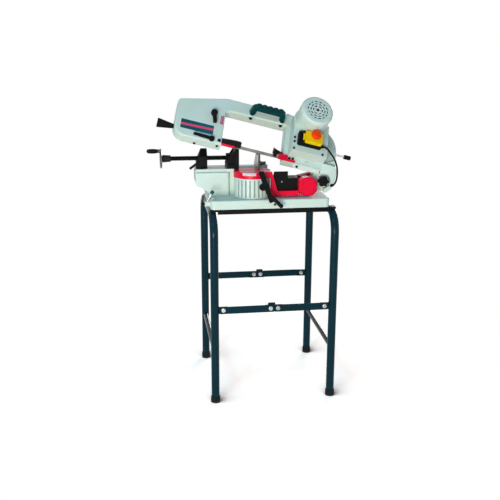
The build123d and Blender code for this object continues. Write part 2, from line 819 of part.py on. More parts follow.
# Pivot block: the eight-sided casting bolted on the carrier's front
with BuildPart() as pivot_block:
    with BuildSketch(front_plane(block_back)):
        with Locations(((block_left + block_right) / 2, (block_low + block_high) / 2)):
            Rectangle(block_right - block_left, block_high - block_low)
        chamfer(vertices(), 17)
    extrude(amount=block_back - block_front)
    chamfer(pivot_block.faces().sort_by(Axis.Y)[0].edges(), 4)
pivot_block.part.label = "pivot_block"
export_step(pivot_block.part, "parts/pivot_block.step")

# Stop box: black box behind the strip, stepped and sloped to pass under the lowered arm,
# and a stop pad on the web
stop_high = disc_top - 2
with BuildPart() as stop_box:
    with BuildSketch(front_plane(cut_y + carrier_half - 2)):
        with BuildLine():
            Polyline(
                (strip_end + 14, arm_high),
                (strip_end + 14, stop_high),
                (block_left - 42, stop_high),
                (block_left - 42, web_high + 4),
                (block_left - 4, web_high + 4),
                (block_left - 4, arm_high),
                close=True,
            )
        make_face()
    extrude(amount=cut_y + carrier_half - 2 - carrier_front - strip_thick - 1)
    with BuildSketch(side_plane(0)):
        with BuildLine():
            Polyline(
                (carrier_front + strip_thick, disc_top),
                (carrier_front + strip_thick + 18, web_high + 18),
                (cut_y - 12, web_high + 4),
                (cut_y + carrier_half, web_high + 4),
                (cut_y + carrier_half, disc_top),
                close=True,
            )
        make_face()
    extrude(amount=block_right, mode=Mode.SUBTRACT)
    with Locations(((block_left + web_right) / 2, cut_y, web_high + 4)):
        Box(web_right - block_left - 12, 30, 8)
stop_box.part.label = "stop_box"
export_step(stop_box.part, "parts/stop_box.step")

# Pivot pin: fixed in the ear, through the arm's lug, with a stud for the brake knob
knob_r = 22.0
knob_neck = 15.0
stub_r = 8.0
stub_reach = 30.0
with BuildPart() as pivot_pin:
    with BuildSketch(front_plane(ear_back)):
        with Locations((pivot_x, pivot_z)):
            Circle(pivot_pin_r)
    extrude(amount=ear_back - cut_y + lug_front)
    with BuildSketch(front_plane(cut_y - lug_front)):
        with Locations((pivot_x, pivot_z)):
            Circle(stub_r)
    extrude(amount=stub_reach)
pivot_pin.part.label = "pivot_pin"
export_step(pivot_pin.part, "parts/pivot_pin.step")

# Brake knob: a six-lobed knob on the pin's stud
with BuildPart() as brake_knob:
    KNOB = Plane(origin=(pivot_x, cut_y - lug_front - body_gap, pivot_z), x_dir=(1, 0, 0), z_dir=(0, -1, 0))
    with BuildSketch(KNOB):
        Circle(knob_r * 0.65)
    extrude(amount=knob_neck)
    with BuildSketch(KNOB.offset(knob_neck - 1)):
        Circle(knob_r * 0.8)
        with PolarLocations(knob_r * 0.72, 6):
            Circle(knob_r * 0.28)
    extrude(amount=knob_r)
    with BuildSketch(KNOB):
        Circle(stub_r + run_gap)
    extrude(amount=stub_reach + 1, mode=Mode.SUBTRACT)
brake_knob.part.label = "brake_knob"
export_step(brake_knob.part, "parts/brake_knob.step")

# Idler housing: the bow's left end, open at the back, with the guide rod's boss
floor_d = 22.0
rod_h = -14.0
rod_d = 14.0
rod_r = 6.0
clamp_s = throat_left - 43
lock_s = throat_left - 48
lock_h = wheel_r + 31
tension_h = 12.0
tension_d = 16.5
top_left_h = wheel_d - 13
stud_r = 5.0


TENSION = Plane(
    origin=BOW.from_local_coords((idler_left, tension_h, tension_d)), x_dir=BOW.z_dir, z_dir=-BOW.x_dir
)


def idler_outline(inset):
    """Corner points of the idler housing, drawn in by a wall where asked."""
    slope = (bow_top - top_left_h) / (throat_left - idler_left)
    left = idler_left + inset
    right = throat_left - inset
    drop = inset * sqrt(1 + slope**2)
    return [
        (left, bow_bottom + inset),
        (right, bow_bottom + inset),
        (right, top_left_h + slope * (right - idler_left) - drop),
        (left, top_left_h + slope * (left - idler_left) - drop),
    ]


with BuildPart() as idler_housing:
    with BuildSketch(BOW.offset(bow_back)):
        Polygon(*idler_outline(0), align=None)
        fillet(vertices().sort_by(Axis.X)[:2].sort_by(Axis.Y)[0], 44)
        fillet(vertices().sort_by(Axis.X)[:3].sort_by(Axis.Y)[-1], 18)
        with Locations((throat_left, beam_low - throat_corner)):
            Rectangle(throat_corner, bow_top - beam_low + throat_corner, align=(Align.MIN, Align.MIN))
        with Locations((beam_left, beam_low - throat_corner)):
            Circle(throat_corner, mode=Mode.SUBTRACT)
    extrude(amount=bow_front - bow_back)
    front_edges = idler_housing.faces().sort_by(Axis((0, 0, 0), tuple(BOW.z_dir)))[-1].edges()
    fillet(front_edges.sort_by(Axis((0, 0, 0), tuple(BOW.x_dir)))[:-1], beam_edge)
    with BuildSketch(BOW.offset(bow_back)):
        Polygon(*idler_outline(bow_wall), align=None)
        fillet(vertices().sort_by(Axis.X)[:2].sort_by(Axis.Y)[0], 38)
        fillet(vertices().sort_by(Axis.X)[:3].sort_by(Axis.Y)[-1], 12)
    extrude(amount=floor_d - bow_back, mode=Mode.SUBTRACT)
    with BuildSketch(BOW.offset(bow_back)):
        with Locations((beam_left, (beam_low + bow_top) / 2)):
            Rectangle(2 * (throat_corner + 2 * bow_wall), bow_top - beam_low - 2 * bow_wall)
        with Locations((throat_left, 0)):
            Rectangle(4 * bow_wall, blade_width + 9)
    extrude(amount=bow_back * -2, mode=Mode.SUBTRACT)
    with BuildSketch(Plane(origin=BOW.from_local_coords((throat_left, rod_h, rod_d)), z_dir=BOW.x_dir)):
        Circle(rod_r + run_gap)
    extrude(amount=-4 * bow_wall, mode=Mode.SUBTRACT)
    with BuildSketch(Plane(origin=TENSION.origin, z_dir=BOW.x_dir)):
        Circle(stud_r + run_gap)
    extrude(amount=4 * bow_wall, mode=Mode.SUBTRACT)
    with BuildSketch(BOW.offset(bow_front)):
        with Locations((clamp_s, rod_h), (lock_s, lock_h)):
            Circle(stud_r + run_gap)
    extrude(amount=-4 * bow_wall, mode=Mode.SUBTRACT)
idler_housing.part.label = "idler_housing"
export_step(idler_housing.part, "parts/idler_housing.step")

# Beam: the channel that carries the blade's upper run
with BuildPart() as bow_beam:
    beam_start = BOW.from_local_coords((beam_left, 0, 0))
    with BuildSketch(Plane(origin=beam_start, x_dir=BOW.y_dir, z_dir=BOW.x_dir)):
        with BuildLine():
            Polyline(
                (beam_low, bow_back),
                (bow_top, bow_back),
                (bow_top, bow_front),
                (beam_low, bow_front),
                close=True,
            )
        make_face()
        fillet(vertices().group_by(Axis.Y)[-1], beam_edge)
    extrude(amount=throat_right - beam_left)
    with BuildSketch(BOW.offset(bow_back)):
        with Locations(((throat_left + throat_right) / 2, (beam_low + bow_top) / 2)):
            Rectangle(throat_right - throat_left + 10, bow_top - beam_low - 2 * bow_wall)
    extrude(amount=floor_d - bow_back, mode=Mode.SUBTRACT)
bow_beam.part.label = "bow_beam"
export_step(bow_beam.part, "parts/bow_beam.step")

# Drive housing: wheel case, gear case and the tail with the hinge lug
round_r = wheel_r + 27
wheel_floor = 14.0
case_floor = 34.0
case_left = -168.0
case_right = -20.0
case_low = -8.0
case_wall = 6.0
shaft_r = 10.0
bearing_r = 17.0
lay_shaft_r = 6.0
motor_shaft_r = 6.0

stage_two = gear_module * (lay_pinion_teeth + drive_teeth) / 2
stage_one = gear_module * (rotor_teeth + lay_gear_teeth) / 2
reach = hypot(motor_s - drive_s, motor_h - wheel_r)
turn = acos((stage_two**2 + reach**2 - stage_one**2) / (2 * stage_two * reach))
lay_angle = atan2(motor_h - wheel_r, motor_s - drive_s) + turn
lay_s = drive_s + stage_two * cos(lay_angle)
lay_h = wheel_r + stage_two * sin(lay_angle)


def drive_outline(inset):
    """Edges of the wheel case, drawn in by a wall where asked."""
    rim = round_r - inset
    right = drive_s + rim
    left = throat_right + inset
    low = bow_bottom + inset
    Polyline(
        (drive_s, wheel_r + rim),
        (left, bow_top - inset),
        (left, low),
        (right - 20, low),
        (right, low + 20),
        (right, wheel_r),
    )
    CenterArc((drive_s, wheel_r), rim, 0, 90)


def case_outline(inset):
    """The gear case with its round top under the motor."""
    with Locations(((case_left + case_right) / 2, (case_low + motor_h) / 2)):
        Rectangle(case_right - case_left - 2 * inset, motor_h - case_low - 2 * inset)
    with Locations((motor_s, motor_h)):
        Circle(motor_r + 4 - inset)


with BuildPart() as drive_housing:
    with BuildSketch(BOW.offset(bow_back)):
        with BuildLine():
            drive_outline(0)
        make_face()
    extrude(amount=bow_front - bow_back)
    with BuildSketch(BOW.offset(bow_front)):
        with Locations((case_right + 80, wheel_r)):
            Rectangle(160, 2 * bow_top, mode=Mode.ADD)
    extrude(amount=wheel_floor + bow_wall - bow_front, mode=Mode.SUBTRACT)
    with BuildSketch(ARM.offset(lug_back)):
        with BuildLine():
            Polyline((-30, 22), (-30, 0), (38, 0), (38, 92), (-10, boss_high))
            Polyline((-10, boss_high), (-138, 60), (-138, 24), (-30, 22))
        make_face()
        Circle(lug_r)
    extrude(amount=lug_front - lug_back)
    with BuildSketch(ARM.offset(lug_front - 1)):
        with BuildLine():
            Polyline((-24, 22), (-24, 60), (-138, 60), (-138, 24), close=True)
        make_face()
    extrude(amount=tail_front - lug_front + 1)
    with BuildSketch(ARM.offset(lug_front - 1)):
        with BuildLine():
            CenterArc((0, 0), boss_r, degrees(boss_start), -degrees(boss_start))
            Line((boss_r, 0), (boss_r, boss_high - 30))
            CenterArc((boss_r - 30, boss_high - 30), 30, 0, 90)
            Polyline(
                (boss_r - 30, boss_high),
                (-22, boss_high),
                (-22, 30),
                (-6, 0),
                (boss_r * cos(boss_start), boss_r * sin(boss_start)),
            )
        make_face()
    extrude(amount=boss_front - lug_front + 1)
    with BuildSketch(ARM.offset(boss_front)):
        Circle(knob_r + 9)
    extrude(amount=lug_front - boss_front, mode=Mode.SUBTRACT)
    with BuildSketch(BOW.offset(wheel_floor)):
        case_outline(0)
    extrude(amount=box_front - wheel_floor)
    with BuildSketch(BOW.offset(bow_back)):
        with BuildLine():
            drive_outline(bow_wall)
        make_face()
    extrude(amount=wheel_floor - bow_back, mode=Mode.SUBTRACT)
    with BuildSketch(BOW.offset(case_floor)):
        case_outline(case_wall)
    extrude(amount=box_front - case_floor, mode=Mode.SUBTRACT)
    with BuildSketch(BOW.offset(bow_back)):
        with Locations((throat_right, (beam_low + bow_top) / 2)):
            Rectangle(4 * bow_wall, bow_top - beam_low - 2 * bow_wall)
        with Locations((throat_right, 0)):
            Rectangle(4 * bow_wall, blade_width + 9)
    extrude(amount=wheel_floor - bow_back, mode=Mode.SUBTRACT)
    with Locations(Plane(origin=BOW.from_local_coords((drive_s, wheel_r, wheel_floor)), z_dir=BOW.z_dir)):
        Cylinder(bearing_r + run_gap, 80, mode=Mode.SUBTRACT)
    with Locations(Plane(origin=BOW.from_local_coords((lay_s, lay_h, case_floor)), z_dir=BOW.z_dir)):
        Cylinder(lay_shaft_r + run_gap, 24, mode=Mode.SUBTRACT)
    with Locations(Plane(origin=(pivot_x, cut_y, pivot_z), z_dir=(0, 1, 0))):
        Cylinder(pivot_pin_r + run_gap, 200, mode=Mode.SUBTRACT)
drive_housing.part.label = "drive_housing"
export_step(drive_housing.part, "parts/drive_housing.step")

# Rear cover: one sheet over both wheels and the beam
with BuildPart() as rear_cover:
    with BuildSketch(BOW.offset(bow_back)):
        with BuildLine():
            drive_outline(1)
        make_face()
        Polygon(*idler_outline(1), align=None)
        with Locations(((throat_left + throat_right) / 2, (beam_low + bow_top) / 2)):
            Rectangle(throat_right - throat_left + 20, bow_top - beam_low - 2)
        with Locations((drive_s, bow_bottom)):
            Rectangle(2 * round_r + 10, 102, mode=Mode.SUBTRACT)
        fillet(vertices().sort_by(Axis.X)[:2].sort_by(Axis.Y)[0], 43)
        fillet(vertices().sort_by(Axis.X)[:3].sort_by(Axis.Y)[-1], 17)
    extrude(amount=-cover_thick)
rear_cover.part.label = "rear_cover"
export_step(rear_cover.part, "parts/rear_cover.step")

# Gear case cover: carries the motor and the switch box
with BuildPart() as gearbox_cover:
    with BuildSketch(BOW.offset(box_front)):
        case_outline(0)
        with Locations((motor_s, motor_h)):
            Circle(bearing_r + run_gap, mode=Mode.SUBTRACT)
    extrude(amount=motor_back - box_front)
    with Locations(Plane(origin=BOW.from_local_coords((lay_s, lay_h, box_front)), z_dir=BOW.z_dir)):
        Cylinder(lay_shaft_r + run_gap, 8, mode=Mode.SUBTRACT)
gearbox_cover.part.label = "gearbox_cover"
export_step(gearbox_cover.part, "parts/gearbox_cover.step")

# Motor: housing, stator, rotor with its fan, fan cover with slotted rings
shell = 4.0
MOTOR = Plane(origin=BOW.from_local_coords((motor_s, motor_h, 0)), x_dir=BOW.x_dir, z_dir=BOW.z_dir)
with BuildPart() as motor_housing:
    with BuildSketch(MOTOR.offset(motor_back)):
        Circle(motor_r)
    extrude(amount=motor_front - motor_back)
    with BuildSketch(MOTOR.offset(motor_front - 12)):
        Circle(motor_r + 1)
        Circle(motor_r - shell, mode=Mode.SUBTRACT)
    extrude(amount=12)
    with BuildSketch(MOTOR.offset(motor_back)):
        Circle(motor_r - shell)
    extrude(amount=motor_front - motor_back, mode=Mode.SUBTRACT)
motor_housing.part.label = "motor_housing"
export_step(motor_housing.part, "parts/motor_housing.step")

with BuildPart() as stator:
    with BuildSketch(MOTOR.offset(motor_back + 8)):
        Circle(motor_r - shell - run_gap)
        Circle(38, mode=Mode.SUBTRACT)
    extrude(amount=40)
stator.part.label = "stator"
export_step(stator.part, "parts/stator.step")

fan_depth = 24.0
with BuildPart() as fan_cover:
    with BuildSketch(MOTOR.offset(motor_front)):
        Circle(motor_r + 1)
    extrude(amount=fan_depth)
    fillet(fan_cover.faces().sort_by(Axis((0, 0, 0), tuple(MOTOR.z_dir)))[-1].edges(), 12)
    with BuildSketch(MOTOR.offset(motor_front)):
        Circle(motor_r - shell)
    extrude(amount=fan_depth - shell, taper=12, mode=Mode.SUBTRACT)
    with BuildSketch(MOTOR.offset(motor_front + fan_depth)):
        Circle(6)
        for ring_r, slots in ((18, 6), (29, 10), (40, 14)):
            with PolarLocations(ring_r, slots):
                Rectangle(4, 11)
    extrude(amount=-2 * shell, mode=Mode.SUBTRACT)
fan_cover.part.label = "fan_cover"
export_step(fan_cover.part, "parts/fan_cover.step")


def gear_points(teeth, phase):
    """Corner points of an involute gear with straight-sided flank facets."""
    pitch_r = gear_module * teeth / 2
    base_r = pitch_r * cos(pressure)
    half_tooth = pi / (2 * teeth) - tooth_play / (2 * pitch_r) + tan(pressure) - pressure
    flank = []
    for radius in (pitch_r - 1.2 * gear_module, pitch_r, pitch_r + 0.85 * gear_module):
        roll = acos(base_r / max(radius, base_r))
        flank.append((radius, half_tooth - (tan(roll) - roll)))
    points = []
    for tooth in range(teeth):
        middle = phase + 2 * pi * tooth / teeth
        for radius, half in flank:
            points.append((radius * cos(middle - half), radius * sin(middle - half)))
        for radius, half in reversed(flank):
            points.append((radius * cos(middle + half), radius * sin(middle + half)))
    return points


lay_to_drive = atan2(wheel_r - lay_h, drive_s - lay_s)
lay_to_motor = atan2(motor_h - lay_h, motor_s - lay_s)
LAY = Plane(origin=BOW.from_local_coords((lay_s, lay_h, 0)), x_dir=BOW.x_dir, z_dir=BOW.z_dir)
DRIVE = Plane(origin=BOW.from_local_coords((drive_s, wheel_r, 0)), x_dir=BOW.x_dir, z_dir=BOW.z_dir)
IDLER = Plane(origin=BOW.from_local_coords((idler_s, wheel_r, 0)), x_dir=BOW.x_dir, z_dir=BOW.z_dir)
slow_stage = case_floor + 2.5
fast_stage = slow_stage + 20
gear_width = 14.0

with BuildPart() as rotor:
    with BuildSketch(MOTOR.offset(fast_stage)):
        Circle(motor_shaft_r)
    extrude(amount=motor_front + fan_depth - 2 * shell - fast_stage - 1)
    with BuildSketch(MOTOR.offset(fast_stage)):
        Polygon(*gear_points(rotor_teeth, lay_to_motor + pi + pi / rotor_teeth), align=None)
    extrude(amount=gear_width)
    with BuildSketch(MOTOR.offset(motor_back + 8)):
        Circle(37)
    extrude(amount=40)
    with BuildSketch(MOTOR.offset(motor_front - 8)):
        Circle(12)
        with PolarLocations(30, 8):
            Rectangle(42, 3)
    extrude(amount=12)
rotor.part.label = "rotor"
export_step(rotor.part, "parts/rotor.step")

with BuildPart() as layshaft:
    with BuildSketch(LAY.offset(case_floor - 11)):
        Circle(lay_shaft_r)
    extrude(amount=box_front + 3 - case_floor + 11)
    with BuildSketch(LAY.offset(slow_stage)):
        Polygon(*gear_points(lay_pinion_teeth, lay_to_drive), align=None)
    extrude(amount=gear_width + 4)
    with BuildSketch(LAY.offset(fast_stage)):
        Polygon(*gear_points(lay_gear_teeth, lay_to_motor), align=None)
    extrude(amount=gear_width)
layshaft.part.label = "layshaft"
export_step(layshaft.part, "parts/layshaft.step")

with BuildPart() as drive_shaft:
    with BuildSketch(DRIVE.offset(-wheel_width / 2 - 2)):
        Circle(shaft_r)
    extrude(amount=slow_stage + gear_width + 2 + wheel_width / 2)
    with BuildSketch(DRIVE.offset(slow_stage)):
        Polygon(*gear_points(drive_teeth, lay_to_drive + pi + pi / drive_teeth), align=None)
    extrude(amount=gear_width)
drive_shaft.part.label = "drive_shaft"
export_step(drive_shaft.part, "parts/drive_shaft.step")

with BuildPart() as bearings:
    for plane, start, wide, bore in (
        (DRIVE, wheel_floor + 0.5, 8, shaft_r),
        (DRIVE, case_floor - 8.5, 8, shaft_r),
        (MOTOR, box_front, motor_back - box_front, motor_shaft_r),
    ):
        with BuildSketch(plane.offset(start)):
            Circle(bearing_r)
            Circle(bore + run_gap, mode=Mode.SUBTRACT)
        extrude(amount=wide)
bearings.part.label = "bearings"
export_step(bearings.part, "parts/bearings.step")

# Band wheels: rim, web with windows and hub
axle_r = 10.0


def band_wheel(plane, bore):
    with BuildPart() as wheel:
        with BuildSketch(plane.offset(-wheel_width / 2)):
            Circle(wheel_r)
            Circle(wheel_r - 9, mode=Mode.SUBTRACT)
        extrude(amount=wheel_width)
        with BuildSketch(plane.offset(-4)):
            Circle(wheel_r - 8)
            with PolarLocations(wheel_r * 0.55, 6):
                Circle(13, mode=Mode.SUBTRACT)
        extrude(amount=8)
        with BuildSketch(plane.offset(-wheel_width / 2)):
            Circle(21)
        extrude(amount=wheel_width)
        with BuildSketch(plane.offset(-wheel_width)):
            Circle(bore)
        extrude(amount=2 * wheel_width, mode=Mode.SUBTRACT)
    return wheel.part


for name, plane in (("drive_wheel", DRIVE), ("idler_wheel", IDLER)):
    wheel = band_wheel(plane, axle_r + run_gap)
    wheel.label = name
    export_step(wheel, f"parts/{name}.step")

# Tension carriage: slides in the housing's front pocket and carries the idler axle
carriage_d = 11.0
with BuildPart() as tension_carriage:
    with BuildSketch(BOW.offset(carriage_d)):
        with Locations((idler_s, (tension_h - 10 + wheel_r + 40) / 2)):
            RectangleRounded(116, wheel_r + 50 - tension_h, 8)
    extrude(amount=floor_d - body_gap - carriage_d)
    with BuildSketch(IDLER.offset(-wheel_width / 2 - 1)):
        Circle(axle_r)
    extrude(amount=wheel_width / 2 + 1 + carriage_d + 1)
    screw_mouth = BOW.from_local_coords((idler_s - 58, tension_h, tension_d))
    with BuildSketch(Plane(origin=screw_mouth, z_dir=BOW.x_dir)):
        Circle(4 + run_gap)
    extrude(amount=40, mode=Mode.SUBTRACT)
tension_carriage.part.label = "tension_carriage"
export_step(tension_carriage.part, "parts/tension_carriage.step")

# Tension knob: a flared handle on the screw that draws the carriage outwards
with BuildPart() as tension_knob:
    with BuildSketch(TENSION.offset(body_gap)):
        Circle(stud_r)
    extrude(amount=-bow_wall - 1)
    with BuildSketch(TENSION.offset(-bow_wall)):
        Circle(4)
    extrude(amount=-(idler_s - 58 - idler_left - bow_wall + 30))
    with BuildSketch(TENSION.offset(body_gap)):
        Circle(9)
    with BuildSketch(TENSION.offset(66)):
        Circle(19)
    loft()
    chamfer(tension_knob.faces().sort_by(Axis((0, 0, 0), tuple(TENSION.z_dir)))[-1].edges(), 2)
    with Locations(TENSION.offset(60)):
        with PolarLocations(20.5, 8):
            Cylinder(3, 40, mode=Mode.SUBTRACT)
tension_knob.part.label = "tension_knob"
export_step(tension_knob.part, "parts/tension_knob.step")


def swing_lever(plane, hub, length, root, tip, angle, high):
    """A round hub with a tapered arm and a stud that turns in the housing's wall."""
    with BuildPart() as lever:
        with BuildSketch(plane.offset(body_gap)):
            Circle(hub)
        extrude(amount=high)
        with BuildSketch(plane.offset(body_gap + 2)):
            with BuildLine(Plane.XY.rotated((0, 0, angle))):
                Polyline((0, -root), (length, -tip), (length, tip), (0, root), close=True)
            make_face()
        extrude(amount=high - 2)
        with BuildSketch(plane.offset(body_gap)):
            Circle(stud_r)
        extrude(amount=-bow_front + floor_d)
    return lever.part


FRONT = BOW.offset(bow_front)
guide_clamp = swing_lever(
    Plane(origin=FRONT.from_local_coords((clamp_s, rod_h, 0)), x_dir=BOW.x_dir, z_dir=BOW.z_dir),
    11, 74, 6, 4, 177, 10,
)
guide_clamp.label = "guide_clamp"
export_step(guide_clamp, "parts/guide_clamp.step")
tension_lock = swing_lever(
    Plane(origin=FRONT.from_local_coords((lock_s, lock_h, 0)), x_dir=BOW.x_dir, z_dir=BOW.z_dir),
    13, 46, 8, 6, -80, 14,
)
tension_lock.label = "tension_lock"
export_step(tension_lock, "parts/tension_lock.step")

# Blade: a welded band round both wheels, twisted into the cutting plane between the guides
left_guide_s = throat_left + 1
guide_end_s = left_guide_s + 78
right_guide_s = -224.0
twist_left = (idler_s, left_guide_s + 40)
twist_right = (right_guide_s + 18, drive_s)
tooth_pitch = 2.5
tooth_deep = 1.2
mid_band = band_r + blade_thick / 2


def band_section(s, turned):
    """A blade section across the run at a place along the arm, turned out of the bow's plane."""
    angle = radians(turned)
    out = BOW.z_dir * cos(angle) + BOW.y_dir * sin(angle)
    place = BOW.from_local_coords((s, wheel_r - mid_band, 0))
    return Plane(origin=place, x_dir=out, z_dir=BOW.x_dir)


twist_total = 90 - bow_lean
twist_steps = 5
with BuildPart() as blade:
    with BuildSketch(BOW.offset(-blade_width / 2)):
        with BuildLine():
            Line((idler_s, wheel_r + band_r), (drive_s, wheel_r + band_r))
            CenterArc((drive_s, wheel_r), band_r, -90, 180)
            Line((drive_s, wheel_r - band_r), (drive_s, wheel_r - band_r - blade_thick))
            CenterArc((drive_s, wheel_r), band_r + blade_thick, -90, 180)
            Line((drive_s, wheel_r + band_r + blade_thick), (idler_s, wheel_r + band_r + blade_thick))
            CenterArc((idler_s, wheel_r), band_r + blade_thick, 90, 180)
            Line((idler_s, wheel_r - band_r - blade_thick), (idler_s, wheel_r - band_r))
            CenterArc((idler_s, wheel_r), band_r, 90, 180)
        make_face()
    extrude(amount=blade_width)
    for begin, end, from_turn, to_turn in ((*twist_left, 0, twist_total), (*twist_right, twist_total, 0)):
        for step in range(twist_steps + 1):
            share = step / twist_steps
            turned = from_turn + (to_turn - from_turn) * share
            with BuildSketch(band_section(begin + (end - begin) * share, turned)):
                Rectangle(blade_width, blade_thick)
        loft(ruled=True)
    run_start = twist_left[1]
    run_end = twist_right[0]
    teeth = int((run_end - run_start) / tooth_pitch)
    run_mid = blade_rise + wheel_r - mid_band
    with BuildSketch(ARM.offset(-blade_thick / 2)):
        with BuildLine():
            corners = [(run_start, run_mid + blade_width / 2), (run_start, run_mid - blade_width / 2)]
            for tooth in range(teeth):
                tooth_s = run_start + tooth * tooth_pitch
                corners.append((tooth_s + 0.6, run_mid - blade_width / 2))
                corners.append((tooth_s + 0.8, run_mid - blade_width / 2 + tooth_deep))
                corners.append((tooth_s + tooth_pitch, run_mid - blade_width / 2))
            corners.append((run_end, run_mid - blade_width / 2))
            corners.append((run_end, run_mid + blade_width / 2))
            Polyline(*corners, close=True)
        make_face()
    extrude(amount=blade_thick)
blade.part.label = "blade"
export_step(blade.part, "parts/blade.step")

# Left guide: rod in the housing, holder over the blade's back, pads on both sides
pad_low = blade_rise - 1.5
back_edge = blade_rise + blade_width / 2
with BuildPart() as left_guide:
    with BuildSketch(Plane(origin=BOW.from_local_coords((throat_left - 60, rod_h, rod_d)), z_dir=BOW.x_dir)):
        Circle(rod_r)
    extrude(amount=60 + 57)
    with BuildSketch(ARM.offset(3)):
        with BuildLine():
            Polyline(
                (left_guide_s + body_gap, pad_low),
                (left_guide_s + body_gap, back_edge + 14),
                (guide_end_s - 18, back_edge + 18),
                (guide_end_s, back_edge + 16),
                (guide_end_s, pad_low),
                close=True,
            )
        make_face()
    extrude(amount=25)
    with BuildSketch(ARM.offset(-14)):
        with Locations((guide_end_s - 9, back_edge + 9)):
            Rectangle(18, 14)
    extrude(amount=20)
    for near, far in ((1, 4), (-1, -8)):
        with BuildSketch(ARM.offset(near)):
            with Locations((guide_end_s - 9, (pad_low + back_edge + 4) / 2)):
                Rectangle(14, back_edge + 4 - pad_low)
        extrude(amount=far - near)
left_guide.part.label = "left_guide"
export_step(left_guide.part, "parts/left_guide.step")

with BuildPart() as left_guard:
    with BuildSketch(ARM.offset(28)):
        with Locations(((left_guide_s + guide_end_s - 24) / 2, pad_low)):
            RectangleRounded(guide_end_s - left_guide_s - 24, 9, 2)
    extrude(amount=3)
left_guard.part.label = "left_guard"
export_step(left_guard.part, "parts/left_guard.step")

# Right guide: fixed to the drive housing
with BuildPart() as right_guide:
    with BuildSketch(ARM.offset(-14)):
        with BuildLine():
            Polyline(
                (right_guide_s, back_edge + 2),
                (right_guide_s, back_edge + 26),
                (right_guide_s + 16, back_edge + 20),
                (throat_right, back_edge + 14),
                (throat_right, back_edge + 2),
                close=True,
            )
        make_face()
    extrude(amount=28)
    for near, far in ((1, 10), (-1, -10)):
        with BuildSketch(ARM.offset(near)):
            with Locations((right_guide_s + 9, (pad_low + back_edge + 4) / 2)):
                Rectangle(14, back_edge + 4 - pad_low)
        extrude(amount=far - near)
right_guide.part.label = "right_guide"
export_step(right_guide.part, "parts/right_guide.step")

with BuildPart() as right_guard:
    with BuildSketch(BOW.offset(bow_front)):
        with BuildLine():
            Polyline(
                (throat_right - 20, bow_bottom - 5),
                (throat_right - 20, bow_bottom + 20),
                (throat_right + 18, bow_bottom + 20),
                (throat_right + 18, bow_bottom + 3),
                (throat_right + 50, bow_bottom + 3),
                (throat_right + 50, bow_bottom - 5),
                close=True,
            )
        make_face()
    extrude(amount=7)
right_guard.part.label = "right_guard"
export_step(right_guard.part, "parts/right_guard.step")

# Carry handle: a moulded bow with a row of finger bumps, standing on the beam's front
handle_left = -346.0
handle_right = -198.0
handle_h = (beam_low + bow_top) / 2 - 12
handle_out = 60.0
handle_wide = 22.0
handle_leg = 21.0
handle_foot = 10.0
finger_count = 5
HANDLE = Plane(
    origin=BOW.from_local_coords((0, handle_h + handle_wide / 2, bow_front)),
    x_dir=BOW.x_dir,
    z_dir=-BOW.y_dir,
)
with BuildPart() as carry_handle:
    with BuildSketch(HANDLE):
        with BuildLine():
            Polyline(
                (handle_left, 0),
                (handle_left + 6, handle_out - 6),
                (handle_right - 6, handle_out - 6),
                (handle_right, 0),
                close=True,
            )
        make_face()
        fillet(vertices().group_by(Axis.Y)[-1], handle_leg)
        finger = (handle_right - handle_left - 1.6 * handle_leg) / finger_count
        with Locations(((handle_left + handle_right) / 2, handle_out - 8)):
            with GridLocations(finger, 1, finger_count, 1):
                Ellipse(finger * 0.46, 8)
        with BuildLine():
            Polyline(
                (handle_left + handle_leg, 0),
                (handle_left + handle_leg + 3, handle_out - 26),
                (handle_right - handle_leg - 3, handle_out - 26),
                (handle_right - handle_leg, 0),
                close=True,
            )
        make_face(mode=Mode.SUBTRACT)
    extrude(amount=handle_wide)
    with BuildSketch(BOW.offset(bow_front)):
        for foot_s in (handle_left + handle_foot, handle_right - handle_foot):
            with Locations((foot_s, handle_h - handle_wide / 2 + 1)):
                Circle(handle_foot)
    extrude(amount=handle_foot)
carry_handle.part.label = "carry_handle"
export_step(carry_handle.part, "parts/carry_handle.step")

# Switch box: black box on the gear case cover, with a flap, a stop and a start button
switch_left = -150.0
switch_right = -50.0
switch_high = motor_h - motor_r - 2
switch_low = switch_high - 58
switch_deep = 20.0
flap_left = -126.0
flap_right = -54.0
flap_low = switch_low + 3
flap_high = switch_high - 3
start_s = -113.0
button_h = (switch_low + switch_high) / 2 + 2
flap_back = motor_back + switch_deep + body_gap
with BuildPart() as switch_box:
    with BuildSketch(BOW.offset(motor_back)):
        with Locations(((switch_left + switch_right) / 2, (switch_low + switch_high) / 2)):
            RectangleRounded(switch_right - switch_left, switch_high - switch_low, 6)
    extrude(amount=switch_deep)
    fillet(switch_box.faces().sort_by(Axis((0, 0, 0), tuple(BOW.z_dir)))[-1].edges(), 3)
    with BuildSketch(BOW.offset(motor_back + switch_deep)):
        with Locations((start_s, button_h)):
            RectangleRounded(14 + body_gap, 20 + body_gap, 2)
    extrude(amount=-12, mode=Mode.SUBTRACT)
    with BuildSketch(BOW.offset(motor_back + switch_deep)):
        with Locations((flap_left - 5, (flap_low + flap_high) / 2)):
            with GridLocations(1, flap_high - flap_low - 8, 1, 2):
                Rectangle(7, 7)
    extrude(amount=6)
    with Locations(
        Plane(
            origin=BOW.from_local_coords((flap_left - 5, (flap_low + flap_high) / 2, flap_back + 2.5)),
            z_dir=BOW.y_dir,
        )
    ):
        Cylinder(1.5 + run_gap, 100, mode=Mode.SUBTRACT)
switch_box.part.label = "switch_box"
export_step(switch_box.part, "parts/switch_box.step")

with BuildPart() as start_button:
    with BuildSketch(BOW.offset(motor_back + switch_deep - 8)):
        with Locations((start_s, button_h)):
            RectangleRounded(14, 20, 2)
    extrude(amount=11)
start_button.part.label = "start_button"
export_step(start_button.part, "parts/start_button.step")

